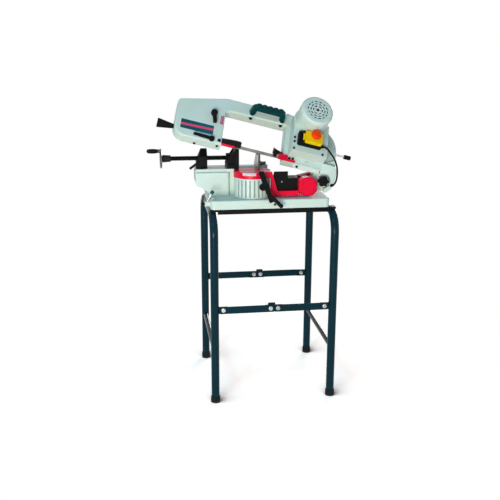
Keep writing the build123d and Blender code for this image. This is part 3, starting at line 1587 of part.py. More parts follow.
flap_deep = 18.0
mushroom_s = -86.0
mushroom_h = switch_high - 21
mushroom_r = 20.0
mushroom_stem = 8.0
with BuildPart() as stop_flap:
    with BuildSketch(BOW.offset(flap_back)):
        with Locations(((flap_left + flap_right) / 2, (flap_low + flap_high) / 2)):
            RectangleRounded(flap_right - flap_left, flap_high - flap_low, 8)
    extrude(amount=flap_deep)
    fillet(stop_flap.faces().sort_by(Axis((0, 0, 0), tuple(BOW.z_dir)))[-1].edges(), 2.5)
    with BuildSketch(BOW.offset(flap_back)):
        with Locations(((flap_left + flap_right) / 2, (flap_low + flap_high) / 2)):
            RectangleRounded(flap_right - flap_left - 6, flap_high - flap_low - 6, 5)
    extrude(amount=flap_deep - 3, mode=Mode.SUBTRACT)
    with BuildSketch(BOW.offset(flap_back + 0.5)):
        with Locations((flap_left, (flap_low + flap_high) / 2)):
            Rectangle(10, flap_high - flap_low - 24)
    extrude(amount=4)
    with BuildSketch(
        Plane(
            origin=BOW.from_local_coords((flap_left - 5, flap_low + 1, flap_back + 2.5)), z_dir=BOW.y_dir
        )
    ):
        Circle(1.5)
    extrude(amount=flap_high - flap_low - 2)
    with Locations(Plane(origin=BOW.from_local_coords((mushroom_s, mushroom_h, flap_back)), z_dir=BOW.z_dir)):
        Cylinder(mushroom_stem + run_gap, 60, mode=Mode.SUBTRACT)
stop_flap.part.label = "stop_flap"
export_step(stop_flap.part, "parts/stop_flap.step")

stop_travel = 3.0
with BuildPart() as stop_button:
    with BuildSketch(BOW.offset(flap_back + flap_deep - 7)):
        with Locations((mushroom_s, mushroom_h)):
            Circle(mushroom_stem)
    extrude(amount=7 + stop_travel + 2)
    with BuildSketch(BOW.offset(flap_back + flap_deep + stop_travel + 0.5)):
        with Locations((mushroom_s, mushroom_h)):
            Circle(mushroom_r)
    extrude(amount=14)
    fillet(stop_button.faces().sort_by(Axis((0, 0, 0), tuple(BOW.z_dir)))[-1].edges(), 9)
stop_button.part.label = "stop_button"
export_step(stop_button.part, "parts/stop_button.step")

# Switch lead: from the box's right end in a free arc to the gland in the lug's corner
lead_r = 3.5
clip_s = 40.0
clip_q = -8.0
lead_mouth = BOW.from_local_coords((switch_right, switch_low + 12, motor_back + switch_deep / 2))
lead_start = ARM.to_local_coords(lead_mouth)
lead_points = [
    (lead_start.X, lead_start.Y, lead_start.Z),
    (lead_start.X + 24, lead_start.Y, lead_start.Z),
    (-10, 122, 54),
    (18, 100, 52),
    (38, 70, 50),
    (48, 40, 49),
    (50, 12, 52),
    (clip_s, clip_q, boss_front + 20),
    (clip_s, clip_q, boss_front + 1),
]
lead_route = [ARM.from_local_coords(point) for point in lead_points]
lead_radii = []
for before, here, after in zip(lead_route, lead_route[1:], lead_route[2:]):
    bend = radians((here - before).get_angle(after - here))
    shorter = min((here - before).length, (after - here).length)
    lead_radii.append(0.45 * shorter / tan(bend / 2))
print("lead bend radii", [round(radius, 1) for radius in lead_radii])
with BuildPart() as switch_lead:
    with BuildLine() as lead_path:
        FilletPolyline(*lead_route, radius=lead_radii)
    with BuildSketch(Plane(origin=lead_path.line @ 0, z_dir=lead_path.line % 0)):
        Circle(lead_r)
    sweep()
print("lead length", round(sum(edge.length for edge in lead_path.edges()), 1))
switch_lead.part.label = "switch_lead"
export_step(switch_lead.part, "parts/switch_lead.step")

# Lead gland: where the lead goes into the lug
with BuildPart() as lead_gland:
    with BuildSketch(ARM.offset(boss_front)):
        with Locations((clip_s, clip_q)):
            Circle(7)
    extrude(amount=6, taper=12)
    with BuildSketch(ARM.offset(boss_front)):
        with Locations((clip_s, clip_q)):
            Circle(lead_r + run_gap)
    extrude(amount=10, mode=Mode.SUBTRACT)
lead_gland.part.label = "lead_gland"
export_step(lead_gland.part, "parts/lead_gland.step")

# Side rod and grip on the wheel case's right end
side_d = 6.0
SIDE = Plane(
    origin=BOW.from_local_coords((drive_s + round_r, wheel_r - 4, side_d)), x_dir=BOW.z_dir, z_dir=BOW.x_dir
)
with BuildPart() as side_rod:
    with BuildSketch(SIDE):
        Circle(9)
    extrude(amount=6)
    with BuildSketch(SIDE):
        Circle(4.5)
    extrude(amount=62)
side_rod.part.label = "side_rod"
export_step(side_rod.part, "parts/side_rod.step")

with BuildPart() as side_grip:
    with BuildSketch(SIDE.offset(40)):
        Circle(9)
    extrude(amount=30)
    chamfer(side_grip.edges().filter_by(GeomType.CIRCLE), 2)
    with BuildSketch(SIDE.offset(40)):
        Circle(4.5 + run_gap)
    extrude(amount=22 + run_gap, mode=Mode.SUBTRACT)
side_grip.part.label = "side_grip"
export_step(side_grip.part, "parts/side_grip.step")
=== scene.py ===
import json
import math

import bmesh
import bpy
from mathutils import Matrix, Vector


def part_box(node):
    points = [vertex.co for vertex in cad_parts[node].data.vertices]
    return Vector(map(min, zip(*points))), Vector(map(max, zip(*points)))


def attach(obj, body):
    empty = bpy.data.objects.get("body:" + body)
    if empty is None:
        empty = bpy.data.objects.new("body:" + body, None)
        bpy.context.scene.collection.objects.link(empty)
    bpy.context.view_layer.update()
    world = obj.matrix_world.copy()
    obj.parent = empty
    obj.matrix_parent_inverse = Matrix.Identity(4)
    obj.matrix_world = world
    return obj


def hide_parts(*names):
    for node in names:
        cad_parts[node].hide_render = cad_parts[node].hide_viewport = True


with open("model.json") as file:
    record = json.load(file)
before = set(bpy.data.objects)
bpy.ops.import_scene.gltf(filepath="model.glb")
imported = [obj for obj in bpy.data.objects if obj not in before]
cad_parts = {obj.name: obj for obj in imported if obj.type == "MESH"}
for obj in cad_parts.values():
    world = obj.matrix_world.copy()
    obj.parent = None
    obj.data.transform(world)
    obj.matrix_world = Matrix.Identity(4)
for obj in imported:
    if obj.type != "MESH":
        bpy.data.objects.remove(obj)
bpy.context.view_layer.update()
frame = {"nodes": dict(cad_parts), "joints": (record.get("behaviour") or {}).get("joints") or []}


# Leg frames: steel tube bent to an upside-down U, with a tie between the legs and tabs for the
# braces, both arc welded. Sprayed with gloss blue-green enamel after welding.

MM = 0.001


class Field:
    """A node's output, so that node maths reads as plain arithmetic."""

    def __init__(self, home, socket):
        self.home = home
        self.socket = socket

    def math(self, operation, *values):
        """Node maths on fields and plain numbers."""
        return self.home.node("ShaderNodeMath", {"operation": operation}, dict(enumerate(values)))

    def __add__(self, other):
        return self.math("ADD", self, other)

    __radd__ = __add__

    def __sub__(self, other):
        return self.math("SUBTRACT", self, other)

    def __rsub__(self, other):
        return self.math("SUBTRACT", other, self)

    def __mul__(self, other):
        return self.math("MULTIPLY", self, other)

    __rmul__ = __mul__

    def __truediv__(self, other):
        return self.math("DIVIDE", self, other)

    def __rtruediv__(self, other):
        return self.math("DIVIDE", other, self)

    def __mod__(self, other):
        return self.math("FLOORED_MODULO", self, other)

    def __abs__(self):
        return self.math("ABSOLUTE", self)

    def or_more(self, other):
        """The larger of two fields."""
        return self.math("MAXIMUM", self, other)

    def wave(self, length):
        """A ripple from -1 to 1 that repeats over a length."""
        return self.math("SINE", self * (math.tau / length))

    def rise(self, low, high):
        """0 at low and 1 at high, with a smooth step between; low may be the larger."""
        span = {"Value": self, "From Min": low, "From Max": high}
        return self.home.node("ShaderNodeMapRange", {"interpolation_type": "SMOOTHSTEP"}, span)


class Wiring:
    """A node tree, wired up from plain values and fields."""

    def connect(self, socket, value):
        """Links a field to a socket, or sets the socket to a plain value."""
        if isinstance(value, Field):
            self.tree.links.new(value.socket, socket)
        elif socket.type == "RGBA" and len(value) == 3:
            socket.default_value = (*value, 1)
        else:
            socket.default_value = value

    def node(self, kind, settings=None, sockets=None, output=0):
        """A new node with its settings and sockets, as the field of one output."""
        made = self.tree.nodes.new(kind)
        for setting, value in (settings or {}).items():
            setattr(made, setting, value)
        for key, value in (sockets or {}).items():
            self.connect(made.inputs[key], value)
        return Field(self, made.outputs[output])


class Finish(Wiring):
    """A surface finish: one material and the nodes that vary it."""

    def __init__(self, name, **plain):
        self.material = bpy.data.materials.new(name)
        self.material.use_nodes = True
        self.tree = self.material.node_tree
        self.shader = self.tree.nodes["Principled BSDF"]
        self.place = self.node("ShaderNodeTexCoord", output="Object")
        self.put(**plain)

    def put(self, **sockets):
        """Sets the shader's own sockets, named in lower case with underscores."""
        for name, value in sockets.items():
            title = name.replace("_", " ").title().replace("Ior", "IOR")
            self.connect(self.shader.inputs[title], value)
        return self

    def axis(self, name, vector=None):
        """One coordinate of the place on the object, in metres, or of another vector."""
        return self.node("ShaderNodeSeparateXYZ", None, {"Vector": vector or self.place}, name)

    def measured(self, operation, *vectors):
        """The number that vector maths gives."""
        sockets = dict(enumerate(vectors))
        return self.node("ShaderNodeVectorMath", {"operation": operation}, sockets, "Value")

    def along(self, way):
        """How far the place on the object lies along a direction, in metres."""
        return self.measured("DOT_PRODUCT", self.place, tuple(way))

    def off_axis(self, start, way):
        """How far the place on the object lies from an axis, in metres."""
        ends = {0: self.place, 1: tuple(start)}
        arm = self.node("ShaderNodeVectorMath", {"operation": "SUBTRACT"}, ends)
        sides = {0: arm, 1: tuple(way)}
        lever = self.node("ShaderNodeVectorMath", {"operation": "CROSS_PRODUCT"}, sides)
        return self.measured("LENGTH", lever)

    def stretched(self, scale):
        """The place on the object with each axis scaled by itself, for streaks and grain."""
        return self.node("ShaderNodeMapping", None, {"Vector": self.place, "Scale": scale})

    def noise(self, per_metre, detail=2.0, place=None):
        """Cloudy noise from 0 to 1."""
        sockets = {"Vector": place or self.place, "Scale": per_metre, "Detail": detail}
        return self.node("ShaderNodeTexNoise", None, sockets)

    def cells(self, per_metre):
        """Soft round dimples, side by side."""
        sockets = {"Vector": self.place, "Scale": per_metre}
        return self.node("ShaderNodeTexVoronoi", {"feature": "SMOOTH_F1"}, sockets)

    def mix(self, share, under, over):
        """A colour laid over another one by a share from 0 to 1."""
        return self.node("ShaderNodeMix", {"data_type": "RGBA"}, {0: share, 6: under, 7: over}, 2)

    def facing(self, name):
        """How far the bare surface faces along an axis, from -1 to 1."""
        return self.axis(name, self.node("ShaderNodeNewGeometry", output="Normal"))

    def rounded(self, radius):
        """Normals that are rounded off along the edges by a radius."""
        return self.node("ShaderNodeBevel", {"samples": 6}, {"Radius": radius}, "Normal")

    def edges(self, radius):
        """1 along sharp edges, 0 on flats."""
        true = self.node("ShaderNodeNewGeometry", output="Normal")
        alike = self.measured("DOT_PRODUCT", self.rounded(radius), true)
        return (1 - alike).rise(0.02, 0.22)

    def relief(self, height, depth, edge_radius):
        """Bumps of a height field, over edges rounded by a radius."""
        softened = self.rounded(edge_radius)
        sockets = {"Height": height, "Distance": depth, "Normal": softened}
        return self.put(normal=self.node("ShaderNodeBump", None, sockets))


def enamel(name, colour, worn, peel=0.04 * MM, gloss=0.26, wear=0.35, shine=0.14):
    """Sprayed paint: orange peel, a little uneven gloss, rubbed thin along its edges."""
    finish = Finish(name, specular_ior_level=shine)
    cloud = finish.noise(9, 4)
    skin = finish.noise(900, 1)
    rubbed = finish.edges(0.9 * MM) * finish.noise(60, 3).rise(0.42, 0.66) * wear
    shade = [0.88 * part for part in colour]
    finish.put(
        base_color=finish.mix(rubbed, finish.mix(cloud.rise(0.35, 0.7), shade, colour), worn),
        roughness=gloss + 0.12 * cloud + 0.2 * rubbed,
    )
    return finish.relief(skin, peel, 0.8 * MM)


nodes = frame["nodes"]


def paint(finish, *names):
    """Gives carried-over pieces their finish."""
    for name in names:
        nodes[name].data.materials.clear()
        nodes[name].data.materials.append(finish.material)


stand_blue, stand_worn = (0.0, 0.024, 0.036), (0.02, 0.06, 0.07)
stand_enamel = enamel("stand_enamel", stand_blue, stand_worn, gloss=0.16, shine=0.1)
paint(stand_enamel, "left_leg_frame", "right_leg_frame")


class Layout(Wiring):
    """A piece laid out over guide points or guide lines, with named sizes."""

    def __init__(self, name, *sizes):
        self.tree = bpy.data.node_groups.new(name, "GeometryNodeTree")
        self.tree.is_modifier = True
        self.inlet = self.tree.nodes.new("NodeGroupInput")
        self.guides = self.size("Guides", "NodeSocketGeometry")
        self.sizes = [self.size(size) for size in sizes]

    def size(self, name, kind="NodeSocketFloat"):
        """A named input of the layout."""
        self.tree.interface.new_socket(name, in_out="INPUT", socket_type=kind)
        return Field(self, self.inlet.outputs[name])

    def raised(self, shape, height):
        """The shape moved up by a height."""
        offset = self.node("ShaderNodeCombineXYZ", None, {"Z": height})
        return self.node("GeometryNodeSetPosition", None, {"Geometry": shape, "Offset": offset})

    def joined(self, *shapes):
        """Shapes put together as one."""
        made = self.tree.nodes.new("GeometryNodeJoinGeometry")
        for shape in shapes:
            self.connect(made.inputs[0], shape)
        return Field(self, made.outputs[0])

    def cylinder(self, sides, radius, height):
        """An upright cylinder that stands on its foot."""
        sockets = {"Vertices": sides, "Radius": radius, "Depth": height}
        return self.raised(self.node("GeometryNodeMeshCylinder", None, sockets), height / 2)

    def circle(self, sides, radius):
        """A round line, as a path or as a section."""
        sockets = {"Resolution": sides, "Radius": radius}
        return self.node("GeometryNodeCurvePrimitiveCircle", None, sockets)

    def rectangle(self, width, height):
        """A flat section."""
        sockets = {"Width": width, "Height": height}
        return self.node("GeometryNodeCurvePrimitiveQuadrilateral", None, sockets)

    def swept(self, path, section, swell=1.0):
        """A section drawn along a path, closed at its ends and kept upright."""
        upright = self.node("GeometryNodeSetCurveNormal", {"mode": "Z_UP"}, {"Curve": path})
        sockets = {"Curve": upright, "Profile Curve": section, "Scale": swell, "Fill Caps": True}
        return self.node("GeometryNodeCurveToMesh", None, sockets)

    def smooth(self, shape):
        """The shape without facets."""
        return self.node("GeometryNodeSetShadeSmooth", None, {"Geometry": shape})

    def stood(self, shape):
        """The shape on every guide point, turned to the way that the point faces."""
        kind = {"data_type": "FLOAT_VECTOR"}
        way = self.node("GeometryNodeInputNamedAttribute", kind, {"Name": "facing"})
        turned_to = self.node("FunctionNodeAlignRotationToVector", {"axis": "Z"}, {"Vector": way})
        sockets = {"Points": self.guides, "Instance": shape, "Rotation": turned_to}
        return self.node("GeometryNodeInstanceOnPoints", None, sockets)

    def close(self, piece):
        """Ends the layout with a real mesh in its finish."""
        self.tree.interface.new_socket("Piece", in_out="OUTPUT", socket_type="NodeSocketGeometry")
        real = self.node("GeometryNodeRealizeInstances", None, {"Geometry": piece})
        sockets = {"Geometry": real, "Material": self.size("Finish", "NodeSocketMaterial")}
        outlet = self.tree.nodes.new("NodeGroupOutput")
        self.connect(outlet.inputs[0], self.node("GeometryNodeSetMaterial", None, sockets))


def lay(name, layout, guides, sizes, finish, body):
    """Runs a layout over its guides and fixes the mesh that it gives to a body; sizes in mm."""
    piece = bpy.data.objects.new(name, guides)
    bpy.context.scene.collection.objects.link(piece)
    steps = piece.modifiers.new(name, "NODES")
    steps.node_group = layout.tree
    for entry in layout.tree.interface.items_tree:
        if entry.name in sizes:
            steps[entry.identifier] = sizes[entry.name] * MM
        elif entry.name == "Finish":
            steps[entry.identifier] = finish.material
    made = piece.evaluated_get(bpy.context.evaluated_depsgraph_get())
    mesh = bpy.data.meshes.new_from_object(made)
    piece.modifiers.clear()
    piece.data = mesh
    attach(piece, body)
    return piece


def guide_lines(name, lines, closed):
    """Bare edges through rows of points in mm."""
    points, edges = [], []
    for line in lines:
        first = len(points)
        points += [Vector(point) * MM for point in line]
        edges += [(place, place + 1) for place in range(first, len(points) - 1)]
        if closed:
            edges.append((len(points) - 1, first))
    mesh = bpy.data.meshes.new(name)
    mesh.from_pydata(points, edges, [])
    return mesh


leg_x, leg_y, tube_r = 245.0, 235.0, 16.85
tie_r, tie_z = 11.0, 222.0
tab_half, tab_low, tab_high = 2.0, 390.0, 420.0
tab_foot = math.sqrt(tube_r**2 - tab_half**2)
seam_steps = 48


def tie_seam(x, side):
    """The line in which the round tie meets a leg."""
    seam = []
    for step in range(seam_steps):
        turn = math.tau * step / seam_steps
        across = tie_r * math.cos(turn)
        depth = leg_y - math.sqrt(tube_r**2 - across**2)
        seam.append((x + across, side * depth, tie_z + tie_r * math.sin(turn)))
    return seam


def tab_seam(x, side, face):
    """The line in which one face of a brace tab meets a leg."""
    foot = x - math.copysign(tab_foot, x)
    return [(foot, side * leg_y + face * tab_half, height) for height in (tab_low, tab_high)]


weld = Layout("weld_bead", "Bead radius", "Ripple length")
bead_radius, ripple = weld.sizes
bead_sides, ripple_steps, ripple_share = 10, 6, 0.16
weld_line = weld.node("GeometryNodeMeshToCurve", None, {"Mesh": weld.guides})
weld_steps = {"Curve": weld_line, "Length": ripple / ripple_steps}
weld_path = weld.node("GeometryNodeResampleCurve", {"mode": "LENGTH"}, weld_steps)
weld_length = weld.node("GeometryNodeSplineParameter", output="Length")
weld_swell = 1 + ripple_share * weld_length.wave(ripple)
weld_ring = weld.circle(bead_sides, bead_radius)
weld.close(weld.smooth(weld.swept(weld_path, weld_ring, weld_swell)))

corners = [(x, side) for x in (-leg_x, leg_x) for side in (-1, 1)]
bead = {"Bead radius": 1.9, "Ripple length": 2.4}
tie_seams = guide_lines("tie_seams", [tie_seam(*corner) for corner in corners], True)
lay("tie_welds", weld, tie_seams, bead, stand_enamel, "stand")
tab_faces = [tab_seam(*corner, face) for corner in corners for face in (-1, 1)]
tab_seams = guide_lines("tab_seams", tab_faces, False)
lay("tab_welds", weld, tab_seams, bead, stand_enamel, "stand")


# Rubber feet: black cups moulded in rubber with fine grip rings round them, pushed over the ends
# of the tubes. Floor dust clings to their lower rims.

dust_top, dust_foot, ring_pitch = 9 * MM, 1 * MM, 4 * MM
foot_black, foot_grey = (0.009, 0.009, 0.01), (0.035, 0.034, 0.032)
foot_rubber = Finish("foot_rubber", specular_ior_level=0.12)
foot_dust = foot_rubber.noise(160, 4)
foot_floor_dust = foot_rubber.axis("Z").rise(dust_top, dust_foot) * 0.6 * foot_dust
foot_tone = foot_rubber.mix(foot_dust.rise(0.5, 0.8), foot_black, foot_grey)
foot_rubber.put(
    base_color=foot_rubber.mix(foot_floor_dust, foot_tone, (0.12, 0.115, 0.105)),
    roughness=0.62 + 0.25 * foot_dust,
)
grip_rings = foot_rubber.axis("Z").wave(ring_pitch) + 0.3 * foot_rubber.noise(1400)
foot_rubber.relief(grip_rings, 0.35 * MM, 0.8 * MM)
paint(foot_rubber, "rubber_feet")


# Rails: two steel angles in black enamel, which carry the base. They are laid across the leg
# frames and bolted to them.

rail_black, rail_worn = (0.003, 0.0035, 0.004), (0.04, 0.04, 0.04)
rail_enamel = enamel("rail_enamel", rail_black, rail_worn, gloss=0.34, shine=0.08)
paint(rail_enamel, "stand_rails")


# Cross braces and their splice plates: flat steel bar, bolted to the tabs of the leg frames
# and joined in the middle. Painted like the legs.

paint(stand_enamel, "front_brace", "rear_brace", "brace_splices")


# Stand bolts: zinc plated hexagon bolts and nuts. Those of the braces have flat washers under
# the head and the nut, and show a few turns of thread.

def tool_marks(finish, streaks=(40, 40, 40)):
    """Fine tool marks, drawn out by their streaks, over edges that are lightly broken."""
    lines = finish.noise(18, 3, finish.stretched(streaks))
    finish.relief(lines, 0.02 * MM, 0.5 * MM)
    return lines


def bright_metal(name, colour, gloss, streaks=(40, 40, 40), grain=0.1):
    """Bare metal with tool marks and cloudy handling marks."""
    finish = Finish(name, metallic=1.0)
    lines = tool_marks(finish, streaks)
    haze = finish.noise(25, 4)
    shade = [0.72 * part for part in colour]
    return finish.put(
        base_color=finish.mix(haze.rise(0.3, 0.75), shade, colour),
        roughness=gloss + grain * lines + 0.1 * haze,
    )


zinc = bright_metal("zinc_plate", (0.52, 0.53, 0.5), 0.26)
paint(zinc, "stand_bolts")


def spots(name, places):
    """Guide points in mm, each with the way that its piece faces."""
    mesh = bpy.data.meshes.new(name)
    mesh.from_pydata([Vector(place) * MM for place, way in places], [], [])
    facing = mesh.attributes.new("facing", "FLOAT_VECTOR", "POINT")
    for point, (place, way) in zip(facing.data, places):
        point.vector = way
    return mesh


washer = Layout("flat_washer", "Outer radius", "Bore radius", "Thickness")
washer_outer, washer_bore, washer_thick = washer.sizes
ring_sides = 32
washer_line = washer.circle(ring_sides, (washer_outer + washer_bore) / 2)
washer_section = washer.rectangle(washer_outer - washer_bore, washer_thick)
washer_ring = washer.swept(washer_line, washer_section)
washer.close(washer.stood(washer.raised(washer_ring, washer_thick / 2)))

thread = Layout("screw_thread", "Crest radius", "Depth", "Pitch", "Length")
crest, thread_depth, pitch, thread_length = thread.sizes
core = crest - thread_depth
ridge_sides = 4
thread_turns = {
    "Resolution": 24,
    "Rotations": thread_length / pitch,
    "Start Radius": core,
    "End Radius": core,
    "Height": thread_length,
}
thread_line = thread.node("GeometryNodeCurveSpiral", None, thread_turns)
thread_ridge = thread.swept(thread_line, thread.circle(ridge_sides, thread_depth))
thread_core = thread.cylinder(ring_sides, core, thread_length)
thread.close(thread.stood(thread.joined(thread_ridge, thread_core)))

tab_bolt_x, splice_bolt_x = 210.15, 15.2
brace_bolt_x = (-tab_bolt_x, -splice_bolt_x, splice_bolt_x, tab_bolt_x)
brace_bolts = [(x, side) for x in brace_bolt_x for side in (-1, 1)]
brace_z, head_y, nut_y, nut_end_y = 405.0, 241.0, 233.0, 227.0
washer_places = [((x, side * head_y, brace_z), (0, side, 0)) for x, side in brace_bolts]
washer_places += [((x, side * nut_y, brace_z), (0, -side, 0)) for x, side in brace_bolts]
washer_spots = spots("washer_spots", washer_places)
washer_sizes = {"Outer radius": 9.0, "Bore radius": 4.1, "Thickness": 1.2}
lay("brace_washers", washer, washer_spots, washer_sizes, zinc, "stand")
thread_places = [((x, side * nut_end_y, brace_z), (0, -side, 0)) for x, side in brace_bolts]
thread_spots = spots("thread_spots", thread_places)
bolt_thread = {"Crest radius": 4.15, "Depth": 0.45, "Pitch": 1.25, "Length": 5.9}
lay("bolt_threads", thread, thread_spots, bolt_thread, zinc, "stand")


# Base casting: grey iron in pale grey-green hammer paint, with the tray, the pedestal under the
# vise and the ribbed drum in one piece. The bed's top is machined bare.

def hammer_paint(name, colour, bare_top=None, painted_shade=None):
    """Pale casting paint: soft dimples, warm cloud of age, thin edges, optional painted shade."""
    finish = Finish(name, specular_ior_level=0.25)
    cloud = finish.noise(6, 5)
    dimples = finish.cells(420)
    rubbed = finish.edges(1.2 * MM) * finish.noise(45, 4).rise(0.5, 0.72) * 0.4
    warm = [colour[0] * 0.97, colour[1] * 0.95, colour[2] * 0.9]
    tone = finish.mix(cloud.rise(0.35, 0.72), warm, colour)
    tone = finish.mix(rubbed, tone, [0.7 * part for part in colour])
    rough = 0.33 + 0.14 * cloud + 0.05 * dimples
    if bare_top is not None:
        level = finish.axis("Z").rise(bare_top - 1.5 * MM, bare_top - 0.5 * MM)
        bare = level * finish.facing("Z").rise(0.85, 0.97)
        mill_lines = finish.noise(30, 3, finish.stretched((2, 60, 1)))
        milled = finish.mix(mill_lines, (0.2, 0.22, 0.23), (0.36, 0.38, 0.39))
        tone = finish.mix(bare, tone, milled)
        rough = rough - 0.06 * bare
        finish.put(metallic=bare)
    # Painted shade: where the given mask is high, the paint is darkened to near black.
    if painted_shade:
        tone = finish.mix(painted_shade(finish), tone, (0.012, 0.013, 0.013))
    finish.put(base_color=tone, roughness=rough)
    return finish.relief(dimples, 0.12 * MM, 1.4 * MM)


swivel_x, swivel_y = -75.0, -105.0
drum_r, drum_low, drum_high = 73.0, 851.0, 936.0


def painted_groove_shade(finish):
    """Painted shade in the upright grooves of the drum, deepest at their floors."""
    drum_axis = (swivel_x * MM, swivel_y * MM, 0)
    from_axis = finish.off_axis(drum_axis, (0, 0, 1))
    sunk = from_axis.rise((drum_r - 0.3) * MM, (drum_r - 2) * MM)
    height = finish.axis("Z")
    above_foot = height.rise(drum_low * MM, (drum_low + 3) * MM)
    below_rim = height.rise(drum_high * MM, (drum_high - 2) * MM)
    return sunk * (above_foot * below_rim) * (0.35 + 0.4 * finish.noise(70, 3))


body_green = (0.6, 0.71, 0.64)
base_paint = hammer_paint("base_paint", body_green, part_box("base_casting")[1].z, painted_groove_shade)
paint(base_paint, "base_casting")


# Tray plug: a black moulded plug with a low domed head, pressed into the coolant hole in the
# front of the tray.

def fit(name, mesh, finish, body):
    """Fixes a made mesh to the body that it moves with."""
    mesh.materials.append(finish.material)
    piece = bpy.data.objects.new(name, mesh)
    bpy.context.scene.collection.objects.link(piece)
    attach(piece, body)
    return piece


def turned(name, outline, place, way, finish, body, sides=40):
    """A piece turned on a lathe: an outline of (radius, height, knurl) in mm from end to end."""
    shape = bmesh.new()
    rings = []
    for radius, height, *knurl in outline:
        ring = []
        for step in range(sides if radius else 1):
            reach = radius - (knurl[0] if knurl and step % 2 else 0)
            turn = math.tau * step / sides
            ring.append(shape.verts.new((reach * math.cos(turn), reach * math.sin(turn), height)))
        rings.append(ring)
    for low, high in zip(rings, rings[1:]):
        for step in range(sides):
            after = (step + 1) % sides
            ends = [low[step % len(low)], low[after % len(low)]]
            ends += [high[after % len(high)], high[step % len(high)]]
            shape.faces.new(dict.fromkeys(ends))
    upright = Vector(way).to_track_quat("Z", "Y").to_matrix().to_4x4()
    shape.transform(Matrix.Scale(MM, 4) @ Matrix.Translation(place) @ upright)
    mesh = bpy.data.meshes.new(name)
    shape.to_mesh(mesh)
    shape.free()
    mesh.shade_smooth()
    mesh.set_sharp_from_angle(angle=math.radians(38))
    return fit(name, mesh, finish, body)


def moulded(name, colour, gloss=0.42, grain=1100, depth=0.05 * MM):
    """Moulded plastic: a fine spark-eroded grain, a little paler where it is handled."""
    finish = Finish(name, specular_ior_level=0.08)
    pores = finish.cells(grain)
    cloud = finish.noise(22, 4)
    handled = finish.edges(1.0 * MM) * 0.3
    pale = [min(1.0, 1.25 * part + 0.012) for part in colour]
    tone = finish.mix(cloud.rise(0.35, 0.75), [0.86 * part for part in colour], colour)
    finish.put(
        base_color=finish.mix(handled, tone, pale),
        roughness=gloss + 0.12 * cloud + 0.08 * pores,
    )
    return finish.relief(pores, depth, 0.9 * MM)


black_plastic = moulded("black_plastic", (0.0035, 0.004, 0.0045))
plug_outline = [(0, -1), (4.6, -1), (4.6, 0.9), (3.9, 1.6), (2.2, 1.9), (0, 2)]
plug_place, to_front = (4.4, -199, 830), (0, -1, 0)
turned("tray_plug", plug_outline, plug_place, to_front, black_plastic, "stand")


# Length stop: a turned boss on the tray's left wall takes a blackened rod with an upright stop
# pin, held by a plated clamp screw with a knurled head. A painted pad sits beside it on the tray.

black_steel = bright_metal("black_steel", (0.011, 0.012, 0.013), 0.36)
blued_steel = bright_metal("blued_steel", (0.025, 0.075, 0.09), 0.3)
to_left, upwards = (-1, 0, 0), (0, 0, 1)
tray_left, stop_y, stop_z, tray_floor = -253, -160, 832, 850
boss_foot = (tray_left, stop_y, stop_z)
stop_boss = [(0, -2), (11, -2), (11, 19), (9.6, 21), (6.4, 21), (6, 20), (6, 9), (0, 9)]
turned("stop_boss", stop_boss, boss_foot, to_left, base_paint, "stand")
rod_foot = (tray_left - 10, stop_y, stop_z)
stop_rod = [(0, 0), (5.5, 0), (5.5, 24), (4.7, 25), (0, 25)]
turned("stop_rod", stop_rod, rod_foot, to_left, black_steel, "stand")
pin_foot = (tray_left - 28, stop_y, stop_z + 3)
stop_pin = [(0, 0), (3, 0), (3, 29), (2.2, 30), (0, 30)]
turned("stop_pin", stop_pin, pin_foot, upwards, black_steel, "stand")
clamp_way, clamp_length, knurl = Vector((0.49, 0, 0.87)), 39, 0.8
clamp_foot = Vector((tray_left - 13, stop_y, stop_z + 6))
clamp_screw = [(0, 0), (3.2, 0), (3.2, 36), (4.6, 36.6), (4.6, clamp_length), (0, clamp_length)]
turned("stop_clamp_screw", clamp_screw, clamp_foot, clamp_way, zinc, "stand")
clamp_end = clamp_foot + clamp_length * clamp_way
clamp_head = [(0, 0), (5.6, 0), (7.4, 1.2, knurl), (7.4, 12, knurl)]
clamp_head += [(6, 13.6), (3, 14.2), (0, 14.4)]
turned("stop_clamp_head", clamp_head, clamp_end, clamp_way, blued_steel, "stand")
pad_foot = (tray_left + 15, stop_y + 6, tray_floor)
stop_pad = [(0, -0.5), (9, -0.5), (9, 3.6), (8, 4.8), (5, 4.8), (4.4, 4), (0, 4)]
turned("stop_pad", stop_pad, pad_foot, upwards, base_paint, "stand")


# Swivel pin and lock: a ground steel pin in the drum, and a blackened stud with a black lever
# that clamps the carrier at its angle.

ground_steel = bright_metal("ground_steel", (0.46, 0.47, 0.48), 0.24, (4, 4, 90))
paint(ground_steel, "swivel_pin")
paint(black_steel, "lock_stud")
paint(black_plastic, "lock_lever")


# Vise jaws and nut housing: black painted iron castings with ground faces. The fixed jaw is
# held to the bed by two socket screws, and the moving jaw slides on a key.

def black_casting(name, ground_x=None):
    """Sand-cast iron in black paint, with one face ground bare at a place along X in mm."""
    finish = Finish(name, specular_ior_level=0.08)
    skin = finish.noise(260, 5)
    cloud = finish.noise(20, 4)
    rubbed = finish.edges(1.0 * MM) * finish.noise(80, 3).rise(0.45, 0.7) * 0.5
    tone = finish.mix(cloud.rise(0.4, 0.75), (0.003, 0.0035, 0.004), (0.007, 0.0075, 0.008))
    tone = finish.mix(rubbed, tone, (0.06, 0.06, 0.06))
    rough = 0.42 + 0.25 * skin
    if ground_x is not None:
        bare = abs(finish.axis("X") - ground_x * MM).rise(0.8 * MM, 0.4 * MM)
        lay_lines = finish.noise(20, 3, finish.stretched((1, 3, 70)))
        ground = finish.mix(lay_lines, (0.16, 0.165, 0.17), (0.34, 0.35, 0.35))
        tone = finish.mix(bare, tone, ground)
        rough = rough - 0.18 * bare
        finish.put(metallic=bare)
    finish.put(base_color=tone, roughness=rough)
    return finish.relief(skin, 0.18 * MM, 1.0 * MM)


